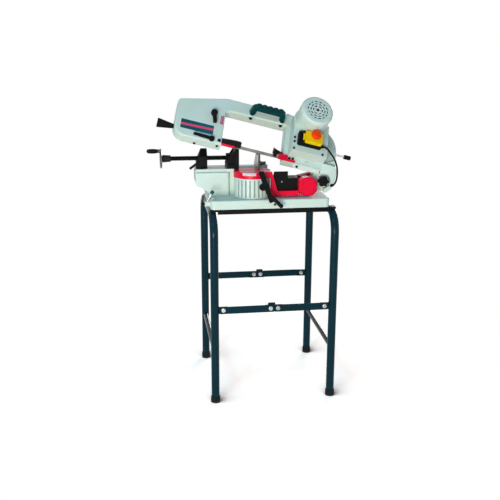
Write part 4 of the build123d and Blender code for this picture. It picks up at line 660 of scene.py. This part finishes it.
fixed_face_x, moving_face_x = -48.0, -124.0
paint(black_casting("fixed_jaw_iron", fixed_face_x), "fixed_jaw")
paint(black_casting("moving_jaw_iron", moving_face_x), "moving_jaw")
paint(black_casting("nut_housing_iron"), "nut_housing")

cap_screw = Layout("cap_screw", "Head radius", "Head height", "Key size")
head_radius, head_height, key_size = cap_screw.sizes
head_sides, key_sides = 28, 6
wall_share, crown_share, crown_narrowing, key_floor = 0.8, 0.2, 0.86, 0.45
wall_height = wall_share * head_height
head_wall = cap_screw.cylinder(head_sides, head_radius, wall_height)
crown_sockets = {
    "Vertices": head_sides,
    "Radius Bottom": head_radius,
    "Radius Top": crown_narrowing * head_radius,
    "Depth": crown_share * head_height,
}
crown = cap_screw.raised(cap_screw.node("GeometryNodeMeshCone", None, crown_sockets), wall_height)
key_bar = cap_screw.cylinder(key_sides, key_size / math.sqrt(3), head_height)
key_hole = cap_screw.raised(key_bar, key_floor * head_height)
whole_head = cap_screw.tree.nodes.new("GeometryNodeMeshBoolean")
whole_head.operation, whole_head.solver = "UNION", "EXACT"
cap_screw.connect(whole_head.inputs["Mesh 2"], head_wall)
cap_screw.connect(whole_head.inputs["Mesh 2"], crown)
cut_sockets = {"Mesh 1": Field(cap_screw, whole_head.outputs["Mesh"]), "Mesh 2": key_hole}
cut_settings = {"operation": "DIFFERENCE", "solver": "EXACT"}
cut_head = cap_screw.node("GeometryNodeMeshBoolean", cut_settings, cut_sockets)
cap_screw.close(cap_screw.stood(cut_head))

jaw_foot_top = 969
jaw_screw_places = [((x, y, jaw_foot_top), upwards) for x, y in ((-34, -4), (-24, 17))]
jaw_screw_spots = spots("jaw_screw_spots", jaw_screw_places)
jaw_screw = {"Head radius": 5.5, "Head height": 4.5, "Key size": 5.0}
lay("jaw_screws", cap_screw, jaw_screw_spots, jaw_screw, black_steel, "stand")


# Vise screw and half nut: a blackened bar with a rolled thread between two turned ends, one for
# the jaw and one for the handwheel.

to_right = (1, 0, 0)
vise_y, vise_z = -22.0, 996.0
screw_foot, thread_foot = (-440.0, vise_y, vise_z), (-399.0, vise_y, vise_z)
screw_ends = [(0, 0), (6.2, 0), (7, 0.8), (7, 40), (8.4, 40), (8.4, 267.7), (7, 267.7)]
screw_ends += [(7, 290.9), (6.2, 291.7), (0, 291.7)]
screw_core = turned(
    "vise_screw_ends", screw_ends, screw_foot, to_right, black_steel, "vise_screw"
)
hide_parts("vise_screw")
screw_start = spots("screw_start", [(thread_foot, to_right)])
rolled = {"Crest radius": 10.0, "Depth": 1.6, "Pitch": 4.0, "Length": 225.7}
lay("vise_screw_thread", thread, screw_start, rolled, black_steel, "vise_screw")
paint(black_steel, "half_nut")


# Handwheel, crank grip and release lever: a plated wheel with a black painted hub, a plastic
# grip that turns freely on it, and the moulded lever that frees the half nut.

hub_x = -435.0
# The rim's metal colour is kept dark: a painted dark reflection in place of the white studio it
# would mirror.
rim_grey, rim_bright, hub_black = (0.1, 0.1, 0.102), (0.26, 0.262, 0.265), (0.012, 0.013, 0.014)
hand_rim = Finish("hand_rim", specular_ior_level=0.1)
tool_marks(hand_rim)
hub_share = hand_rim.axis("X").rise((hub_x - 0.4) * MM, (hub_x + 0.4) * MM)
rim_painted_reflection = hand_rim.mix(hand_rim.noise(25, 4).rise(0.3, 0.75), rim_grey, rim_bright)
hand_rim.put(
    base_color=hand_rim.mix(hub_share, rim_painted_reflection, hub_black),
    metallic=1 - hub_share,
    roughness=0.12 + 0.08 * hand_rim.noise(40, 3) + 0.26 * hub_share,
)
paint(hand_rim, "handwheel")
paint(black_plastic, "crank_grip", "release_lever")


# Swivel carrier and pivot block: iron castings in gloss red. The block is bolted to the carrier
# by four socket screws, painted over, and the carrier's disc has a plate with the angle marks.

red_enamel = enamel("red_enamel", (0.82, 0.002, 0.034), (0.25, 0.03, 0.03), gloss=0.22)
paint(red_enamel, "swivel_carrier", "pivot_block")

block_front = -165
block_places = [((x, block_front, z), to_front) for x in (122, 170) for z in (880, 906)]
block_spots = spots("block_spots", block_places)
block_screw = {"Head radius": 6.0, "Head height": 4.0, "Key size": 6.0}
lay("block_screws", cap_screw, block_spots, block_screw, red_enamel, "carrier")

disc_middle, disc_radius = (swivel_x, swivel_y, 949.2), 75.0
scale_from, scale_sweep = math.radians(-128), math.radians(42)


def disc_arc(layout, radius, resolution):
    """The part of the disc's rim that carries the angle marks."""
    sockets = {
        "Resolution": resolution,
        "Radius": radius,
        "Start Angle": scale_from,
        "Sweep Angle": scale_sweep,
    }
    return layout.node("GeometryNodeCurveArc", None, sockets)


scale_plate = Layout("scale_plate", "Radius", "Height", "Thickness")
plate_radius, plate_height, plate_thick = scale_plate.sizes
plate_steps = 40
plate_section = scale_plate.rectangle(plate_thick, plate_height)
plate_strip = scale_plate.swept(disc_arc(scale_plate, plate_radius, plate_steps), plate_section)
scale_plate.close(scale_plate.stood(plate_strip))
plate_white = moulded("plate_white", (0.8, 0.82, 0.8), gloss=0.3, grain=300, depth=0.01 * MM)
on_disc = spots("on_disc", [(disc_middle, upwards)])
plate_sizes = {"Radius": disc_radius + 0.2, "Height": 11.0, "Thickness": 0.8}
lay("angle_plate", scale_plate, on_disc, plate_sizes, plate_white, "carrier")

ticks = Layout("angle_ticks", "Radius", "Tick width", "Tick length")
tick_radius, tick_width, tick_length = ticks.sizes
tick_count, long_every, short_by = 27, 5, 0.45
tick_places = disc_arc(ticks, tick_radius, tick_count)
tick_number = ticks.node("GeometryNodeInputIndex")
tick_share = 1 - short_by * (tick_number % long_every).rise(0.0, 1.0)
tick_sides = {"X": tick_width, "Y": tick_width, "Z": tick_length}
tick_size = ticks.node("ShaderNodeCombineXYZ", None, tick_sides)
tick_stretch = ticks.node("ShaderNodeCombineXYZ", None, {"X": 1.0, "Y": 1.0, "Z": tick_share})
outwards = ticks.node("GeometryNodeInputPosition")
tick_axes = {"axis": "X", "pivot_axis": "Z"}
tick_turn = ticks.node("FunctionNodeAlignRotationToVector", tick_axes, {"Vector": outwards})
tick_sockets = {
    "Points": tick_places,
    "Instance": ticks.node("GeometryNodeMeshCube", None, {"Size": tick_size}),
    "Rotation": tick_turn,
    "Scale": tick_stretch,
}
tick_row = ticks.node("GeometryNodeInstanceOnPoints", None, tick_sockets)
ticks.close(ticks.stood(ticks.node("GeometryNodeRealizeInstances", None, {"Geometry": tick_row})))
tick_black = moulded("tick_black", (0.012, 0.012, 0.013), 0.4)
tick_sizes = {"Radius": disc_radius + 0.45, "Tick width": 0.5, "Tick length": 7.0}
lay("angle_ticks", ticks, on_disc, tick_sizes, tick_black, "carrier")


# Pivot pin, brake knob and stop box: a ground steel pin in the block, with a moulded black knob
# on its stud, and a black plastic box that one screw holds to the carrier.

paint(ground_steel, "pivot_pin")
paint(black_plastic, "stop_box", "brake_knob")
box_screw = {"Head radius": 2.8, "Head height": 2.0, "Key size": 2.4}
box_spot = spots("box_spot", [((40.6, -144, 911.6), to_front)])
lay("stop_box_screw", cap_screw, box_spot, box_screw, zinc, "carrier")


# Bow and motor: one painted iron casting from the idler end over the beam to the drive end, with
# a bolted gearbox cover and the motor's turned shell and fan cover on it.

bow_paint = hammer_paint("bow_paint", body_green)
paint(bow_paint, "idler_housing", "bow_beam", "drive_housing", "gearbox_cover", "motor_housing")

joints = {joint["name"]: joint for joint in frame["joints"]}
bow_out = Vector(joints["rotor_spin"]["axis"])
bow_along = Vector(joints["tension_slide"]["axis"])
bow_up = bow_out.cross(bow_along)
wheel_s, wheel_h = -65.0, 78.0
bow_zero = Vector(joints["drive_spin"]["pos_m"]) / MM - wheel_s * bow_along - wheel_h * bow_up


def on_bow(s, h, d):
    """A place in mm on the leaning bow: along it, up it and out of its front."""
    return bow_zero + s * bow_along + h * bow_up + d * bow_out


hinge = Vector(joints["arm_pivot"]["pos_m"]) / MM
arm_up = Vector((-bow_along.z, 0, bow_along.x))
arm_out = Vector(to_front)


def on_arm(s, q, z):
    """A place in mm on the upright tail of the bow, from its hinge."""
    return hinge + s * bow_along + q * arm_up + z * arm_out


bow_front, case_front, fan_front, slots_r = 30, 88, 174, 49


def painted_slot_shade(finish):
    """Painted shade on the walls of the fan cover's slots, darkest deepest in."""
    motor_axis = Vector(joints["rotor_spin"]["pos_m"])
    front = (on_bow(0, 0, fan_front) * MM).dot(bow_out)
    deep = finish.along(bow_out).rise(front - 0.3 * MM, front - 0.9 * MM)
    from_motor = finish.off_axis(motor_axis, bow_out)
    return deep * from_motor.rise((slots_r + 1) * MM, (slots_r - 1) * MM)


paint(hammer_paint("fan_cover_paint", body_green, painted_shade=painted_slot_shade), "fan_cover")

cover_corners = ((-161, 51), (-161, 31), (-161, -1), (-40, -1))
cover_places = [(on_bow(s, h, case_front), bow_out) for s, h in cover_corners]
cover_spots = spots("cover_spots", cover_places)
cover_screw = {"Head radius": 4.6, "Head height": 4.0, "Key size": 4.4}
lay("cover_screws", cap_screw, cover_spots, cover_screw, black_steel, "bow")

front_places = [(on_bow(s, h, bow_front), bow_out) for s, h in ((-160, -15), (-146, -14))]
front_places += [(on_bow(s, -26, d), -bow_up) for s, d in ((-545, -6), (-456, 12))]
front_places += [(on_arm(-121, 31, 30), arm_out)]
front_spots = spots("front_spots", front_places)
front_screw = {"Head radius": 5.0, "Head height": 4.5, "Key size": 5.0}
lay("bow_screws", cap_screw, front_spots, front_screw, black_steel, "bow")

guide_screw = {"Head radius": 6.6, "Head height": 4.5, "Key size": 6.0}
guide_spot = spots("guide_spot", [(on_bow(-453, -12, bow_front), bow_out)])
lay("guide_rod_screw", cap_screw, guide_spot, guide_screw, black_steel, "bow")
chrome = bright_metal("chrome", (0.72, 0.73, 0.74), 0.1, grain=0.05)
clip_screw = {"Head radius": 3.4, "Head height": 2.4, "Key size": 2.8}
clip_spot = spots("clip_spot", [(on_arm(30, -14, 38), arm_out)])
lay("lead_clip_screw", cap_screw, clip_spot, clip_screw, chrome, "bow")
oil_boss = [(0, -1), (7.4, -1), (7.4, 2.2), (6.6, 3), (4.9, 3)]
oil_boss += [(4.9, 1.2), (3.4, 1.2), (3, 3), (0, 3.4)]
oil_place = on_bow(-86, -17, bow_front)
turned("oil_plug", oil_boss, oil_place, bow_out, bow_paint, "bow")


# Marking panels: printed foil on the idler end. Both are plain, a blue-green field with a pale
# hatch and one red stripe, and a small two-tone patch beside the blade.

def foil(name, place, size, corner, finish, thick=0.25):
    """A thin foil with round corners on the bow's front, with its own map from 0 to 1."""
    shape = bmesh.new()
    across, high = size
    far, top, corner_steps = across - corner, high - corner, 6
    rim = []
    for quarter, (x, y) in enumerate(((far, top), (corner, top), (corner, corner), (far, corner))):
        for step in range(corner_steps + 1):
            turn = math.radians(90 * quarter + 90 / corner_steps * step)
            rim.append((x + corner * math.cos(turn), y + corner * math.sin(turn)))
    back = [shape.verts.new((x, y, -thick)) for x, y in rim]
    front = [shape.verts.new((x, y, thick)) for x, y in rim]
    shape.faces.new(front)
    shape.faces.new(back[::-1])
    for step in range(len(rim)):
        after = (step + 1) % len(rim)
        shape.faces.new((back[step], back[after], front[after], front[step]))
    marks = shape.loops.layers.uv.new("panel")
    for face in shape.faces:
        for loop in face.loops:
            loop[marks].uv = (loop.vert.co.x / across, loop.vert.co.y / high)
    leaning = Matrix((bow_along, bow_up, bow_out)).transposed().to_4x4()
    on_front = Matrix.Translation(on_bow(*place, bow_front)) @ leaning
    shape.transform(Matrix.Scale(MM, 4) @ on_front)
    mesh = bpy.data.meshes.new(name)
    shape.to_mesh(mesh)
    shape.free()
    return fit(name, mesh, finish, "bow")


def printed(name):
    """Printed foil, with the place on its own map as its spot."""
    finish = Finish(name, specular_ior_level=0.15)
    finish.spot = finish.node("ShaderNodeUVMap", {"uv_map": "panel"})
    return finish


stripe_foil = printed("stripe_foil")
foil_x, foil_y = (stripe_foil.axis(name, stripe_foil.spot) for name in "XY")
stripe_at = abs(foil_y - 0.515 - 0.11 * (foil_x - 0.5))
hatch = (foil_y.wave(0.055) * 0.5 + 0.5) * foil_x.rise(0.2, 1.0) * 0.5
field_tone = stripe_foil.mix(hatch, (0.0, 0.06, 0.085), (0.02, 0.2, 0.25))
field_cloud = stripe_foil.noise(60, 3).rise(0.3, 0.8) * 0.3
field_tone = stripe_foil.mix(field_cloud, field_tone, (0.005, 0.09, 0.12))
foil_tone = stripe_foil.mix(stripe_at.rise(0.125, 0.115), field_tone, (0.75, 0.07, 0.14))
stripe_foil.put(base_color=foil_tone, roughness=0.3 + 0.15 * stripe_foil.noise(30, 3))
foil("stripe_panel", (-614, 7), (133, 43), 3.0, stripe_foil)

patch_foil = printed("patch_foil")
patch_x, patch_y = (patch_foil.axis(name, patch_foil.spot) for name in "XY")
patch_red = patch_x.rise(0.36, 0.4).or_more(patch_y.rise(0.26, 0.24))
patch_tone = patch_foil.mix(patch_red, (0.2, 0.33, 0.33), (0.5, 0.12, 0.2))
patch_foil.put(base_color=patch_tone, roughness=0.3 + 0.15 * patch_foil.noise(30, 3))
foil("edge_patch", (-460, 66), (14, 42), 1.5, patch_foil)


# Rear cover: one sheet of steel over both wheels and the beam, in dark textured powder coat,
# held by pan-head screws round its edge.

powder_black, powder_worn = (0.01, 0.011, 0.012), (0.07, 0.07, 0.07)
cover_powder = enamel(
    "cover_powder", powder_black, powder_worn, peel=0.14 * MM, gloss=0.5, wear=0.5
)
paint(cover_powder, "rear_cover")
cover_back = -16
rear_edge = [(-620, 40), (-620, 112), (-585, 146), (-500, 170), (-450, -8), (-400, 152)]
rear_edge += [(-300, 188), (-220, 152), (-150, 182), (-60, 168), (12, 110), (-560, -14), (-168, 60)]
rear_spots = spots("rear_spots", [(on_bow(s, h, cover_back), -bow_out) for s, h in rear_edge])
rear_screw = {"Head radius": 4.4, "Head height": 2.6, "Key size": 3.2}
lay("rear_screws", cap_screw, rear_spots, rear_screw, zinc, "bow")


# Drive inside the bow: a laminated stator, a turned rotor with a black fan pressed on it, cut
# gears on ground steel shafts, and ball bearings.

core_steel = bright_metal("core_steel", (0.3, 0.27, 0.24), 0.4, (3, 3, 120))
paint(core_steel, "stator")
paint(ground_steel, "layshaft", "drive_shaft", "bearings")
rotor_steel = Finish("rotor_steel", specular_ior_level=0.1)
tool_marks(rotor_steel, (4, 4, 90))
rotor_bright, fan_black, fan_foot = (0.42, 0.43, 0.44), (0.01, 0.011, 0.012), 141
fan_from = (on_bow(0, 0, fan_foot) * MM).dot(bow_out)
fan_share = rotor_steel.along(bow_out).rise(fan_from, fan_from + 0.5 * MM)
rotor_steel.put(
    base_color=rotor_steel.mix(fan_share, rotor_bright, fan_black),
    metallic=1 - fan_share,
    roughness=0.26 + 0.2 * rotor_steel.noise(40, 3) + 0.2 * fan_share,
)
paint(rotor_steel, "rotor")


# Band wheels and tension slide: cast aluminium wheels, the left one on a slide that a screw
# draws outwards to tighten the blade. The screw's knob and the lock's lever are black plastic.

cast_aluminium = bright_metal("cast_aluminium", (0.55, 0.56, 0.57), 0.36, (30, 30, 30))
paint(cast_aluminium, "drive_wheel", "idler_wheel")
paint(black_steel, "tension_carriage")
paint(black_plastic, "tension_knob", "tension_lock")


# Blade: a band of hardened steel with milled teeth, welded to a loop and twisted upright
# between its guides.

blade_steel = bright_metal("blade_steel", (0.17, 0.165, 0.155), 0.34, (6, 90, 90))
paint(blade_steel, "blade")


# Blade guides and guards: black painted iron castings that hold the blade upright, one of them
# clamped by a moulded lever. Red enamelled guards cover the blade beside the cut.

paint(black_casting("guide_iron"), "left_guide", "right_guide")
paint(black_plastic, "guide_clamp")
paint(red_enamel, "left_guard", "right_guard")


# Carry handle: dark green-blue nylon, moulded with a row of finger bumps. Its two feet sit in
# painted sleeves, and black socket screws with washers hold them from under the beam.

handle_nylon = moulded("handle_nylon", (0.002, 0.05, 0.052), 0.36)
paint(handle_nylon, "carry_handle")
handle_feet = {"left": -336, "right": -208}
sleeve = [(0, -1), (12, -1), (12, 7), (11, 8.6), (10.2, 9), (0, 9)]
for side, foot_s in handle_feet.items():
    sleeve_foot = on_bow(foot_s, 148, bow_front)
    turned(f"{side}_handle_sleeve", sleeve, sleeve_foot, bow_out, bow_paint, "bow")
foot_places = [(on_bow(foot_s, 140, 20), -bow_up) for foot_s in handle_feet.values()]
foot_spots = spots("foot_spots", foot_places)
foot_screw = {"Head radius": 6.2, "Head height": 6.0, "Key size": 6.0}
lay("handle_screws", cap_screw, foot_spots, foot_screw, black_steel, "bow")
foot_washer = {"Outer radius": 9.0, "Bore radius": 4.1, "Thickness": 1.4}
lay("handle_washers", washer, foot_spots, foot_washer, zinc, "bow")


# Switch: a black box with a yellow flap over the start button and a mushroom stop button in the
# flap. The lead leaves it through a ribbed rubber sleeve and is clipped to the arm.

paint(black_plastic, "switch_box", "lead_gland")
flap_yellow = moulded("flap_yellow", (0.93, 0.6, 0.004), 0.3)
paint(flap_yellow, "stop_flap")
stop_orange = moulded("stop_orange", (0.95, 0.055, 0.004), 0.28)
paint(stop_orange, "stop_button")
start_green = moulded("start_green", (0.015, 0.3, 0.05), 0.3)
paint(start_green, "start_button")
lead_rubber = moulded("lead_rubber", (0.006, 0.006, 0.007), 0.5)
paint(lead_rubber, "switch_lead")
rib_count, rib_pitch, rib_depth = 4, 2.2, 0.8
lead_sleeve = [(0, -1), (7, -1), (7, 3), (5.6, 3.6)]
for rib in range(rib_count):
    reach, start = 5.4 - 0.28 * rib, 3.8 + rib_pitch * rib
    lead_sleeve += [(reach, start), (reach, start + 1.2)]
    lead_sleeve += [(reach - rib_depth, start + 1.4), (reach - rib_depth, start + 2.1)]
lead_sleeve += [(3.6, 13), (0, 13)]
lead_exit = on_bow(-50, 30, 98)
turned("lead_sleeve", lead_sleeve, lead_exit, bow_along, lead_rubber, "bow")


# Side rod: a plated steel rod that stands out of the drive end of the bow, with a moulded black
# grip pushed over it.

paint(chrome, "side_rod")
paint(black_plastic, "side_grip")


# Floor, light and camera: a pale seamless floor, soft boxes in front of the saw, above it, at its
# side and behind it, and the view in which it was photographed.

floor_mesh = bpy.data.meshes.new("floor")
far = 30.0
floor_corners = [(-far, -far, 0), (far, -far, 0), (far, far, 0), (-far, far, 0)]
floor_mesh.from_pydata(floor_corners, [], [(0, 1, 2, 3)])
floor = bpy.data.objects.new("floor", floor_mesh)
bpy.context.scene.collection.objects.link(floor)


def shown_rays(finish):
    """1 for rays that show the stage itself: seen straight on, in gloss or through glass."""
    seen, mirrored, passed = (
        finish.node("ShaderNodeLightPath", output=f"Is {kind} Ray")
        for kind in ("Camera", "Glossy", "Transmission")
    )
    return seen.or_more(mirrored.or_more(passed))


def blended(wiring, share, under, over):
    """One shader laid over another by a share from 0 to 1."""
    return wiring.node("ShaderNodeMixShader", None, {0: share, 1: under, 2: over})


def glow(grey, strength):
    """Plain grey light of the floor's own."""
    sockets = {"Color": (grey, grey, grey), "Strength": strength}
    return pale_floor.node("ShaderNodeEmission", None, sockets)


floor_grey, floor_warm = (0.86, 0.86, 0.86), (0.86, 0.69, 0.6)
pale_floor = Finish("pale_floor", base_color=floor_grey, roughness=0.9, specular_ior_level=0.0)
lit = Field(pale_floor, pale_floor.shader.outputs[0])
balanced = pale_floor.node("ShaderNodeBsdfDiffuse", None, {"Color": floor_warm})
doubled = pale_floor.node("ShaderNodeAddShader", None, {0: balanced, 1: balanced})
near = pale_floor.node("ShaderNodeAddShader", None, {0: doubled, 1: glow(1, 0.4)})
# Painted shadow: ambient occlusion aimed towards the top box darkens the floor just behind the
# feet.
to_lamp = pale_floor.node("ShaderNodeCombineXYZ", None, {"X": -0.55, "Y": -0.72, "Z": 0.42})
shade_reach = {"Normal": to_lamp, "Distance": 0.4}
open_sky = pale_floor.node("ShaderNodeAmbientOcclusion", {"samples": 12}, shade_reach, "AO")
foot_shade = (1 - open_sky).rise(0.03, 0.36) * 0.85
near = blended(pale_floor, foot_shade, near, glow(0.06, 1.0))
shade_to, white_from = 0.6, 1.5
from_saw = pale_floor.measured("LENGTH", pale_floor.place)
shown = blended(pale_floor, from_saw.rise(shade_to, white_from), near, glow(1, 1.0))
floor_shader = blended(pale_floor, shown_rays(pale_floor), lit, shown)
pale_floor.connect(pale_floor.tree.nodes["Material Output"].inputs["Surface"], floor_shader)
floor_mesh.materials.append(pale_floor.material)


class Sky(Wiring):
    """The studio round the saw: soft light on it, plain white wherever it shows."""

    def __init__(self):
        world = bpy.data.worlds.new("studio")
        bpy.context.scene.world = world
        world.use_nodes = True
        self.tree = world.node_tree
        soft_blue = {"Color": (0.5, 0.78, 1.0), "Strength": 0.3}
        soft = self.node("ShaderNodeBackground", None, soft_blue)
        white = self.node("ShaderNodeBackground", None, {"Color": (1, 1, 1), "Strength": 1.0})
        chosen = blended(self, shown_rays(self), soft, white)
        self.connect(self.tree.nodes["World Output"].inputs["Surface"], chosen)


Sky()


def soft_box(name, place, aim, size, watts, colour):
    """A soft box at a place, turned to the point that it lights; both in metres."""
    lamp = bpy.data.lights.new(name, "AREA")
    lamp.shape = "RECTANGLE"
    lamp.size, lamp.size_y = size
    lamp.energy = watts
    lamp.color = colour
    holder = bpy.data.objects.new(name, lamp)
    holder.location = place
    holder.rotation_euler = (Vector(aim) - Vector(place)).to_track_quat("-Z", "Y").to_euler()
    bpy.context.scene.collection.objects.link(holder)


saw_middle = (0, 0, 0.9)
soft_box("key_box", (-1.3, -3.4, 0.65), saw_middle, (1.7, 1.0), 98, (1.0, 0.93, 0.85))
soft_box("top_box", (-1.5, -2.1, 3.1), saw_middle, (0.6, 0.5), 24, (0.25, 0.66, 1.0))
soft_box("fill_box", (2.6, -2.0, 1.2), saw_middle, (1.4, 1.4), 5, (1.0, 0.97, 0.93))
soft_box("rear_box", (1.6, 3.0, 0.8), saw_middle, (1.7, 1.0), 62, (1.0, 0.92, 0.84))

eye = Vector((-0.5116, -3.1056, 1.4545))
yaw, pitch_down, roll = 0.142, 0.269, 0.003
focal_px, frame_px = 752.2, 500
level = math.cos(pitch_down)
ahead = Vector((math.sin(yaw) * level, math.cos(yaw) * level, -math.sin(pitch_down)))
view = bpy.data.cameras.new("photo_view")
view.sensor_width = 36.0
view.lens = view.sensor_width * focal_px / frame_px
camera = bpy.data.objects.new("photo_view", view)
turn = ahead.to_track_quat("-Z", "Y").to_matrix().to_4x4() @ Matrix.Rotation(roll, 4, "Z")
camera.matrix_world = Matrix.Translation(eye) @ turn
bpy.context.scene.collection.objects.link(camera)
bpy.context.scene.camera = camera
bpy.context.scene.view_settings.view_transform = "Standard"
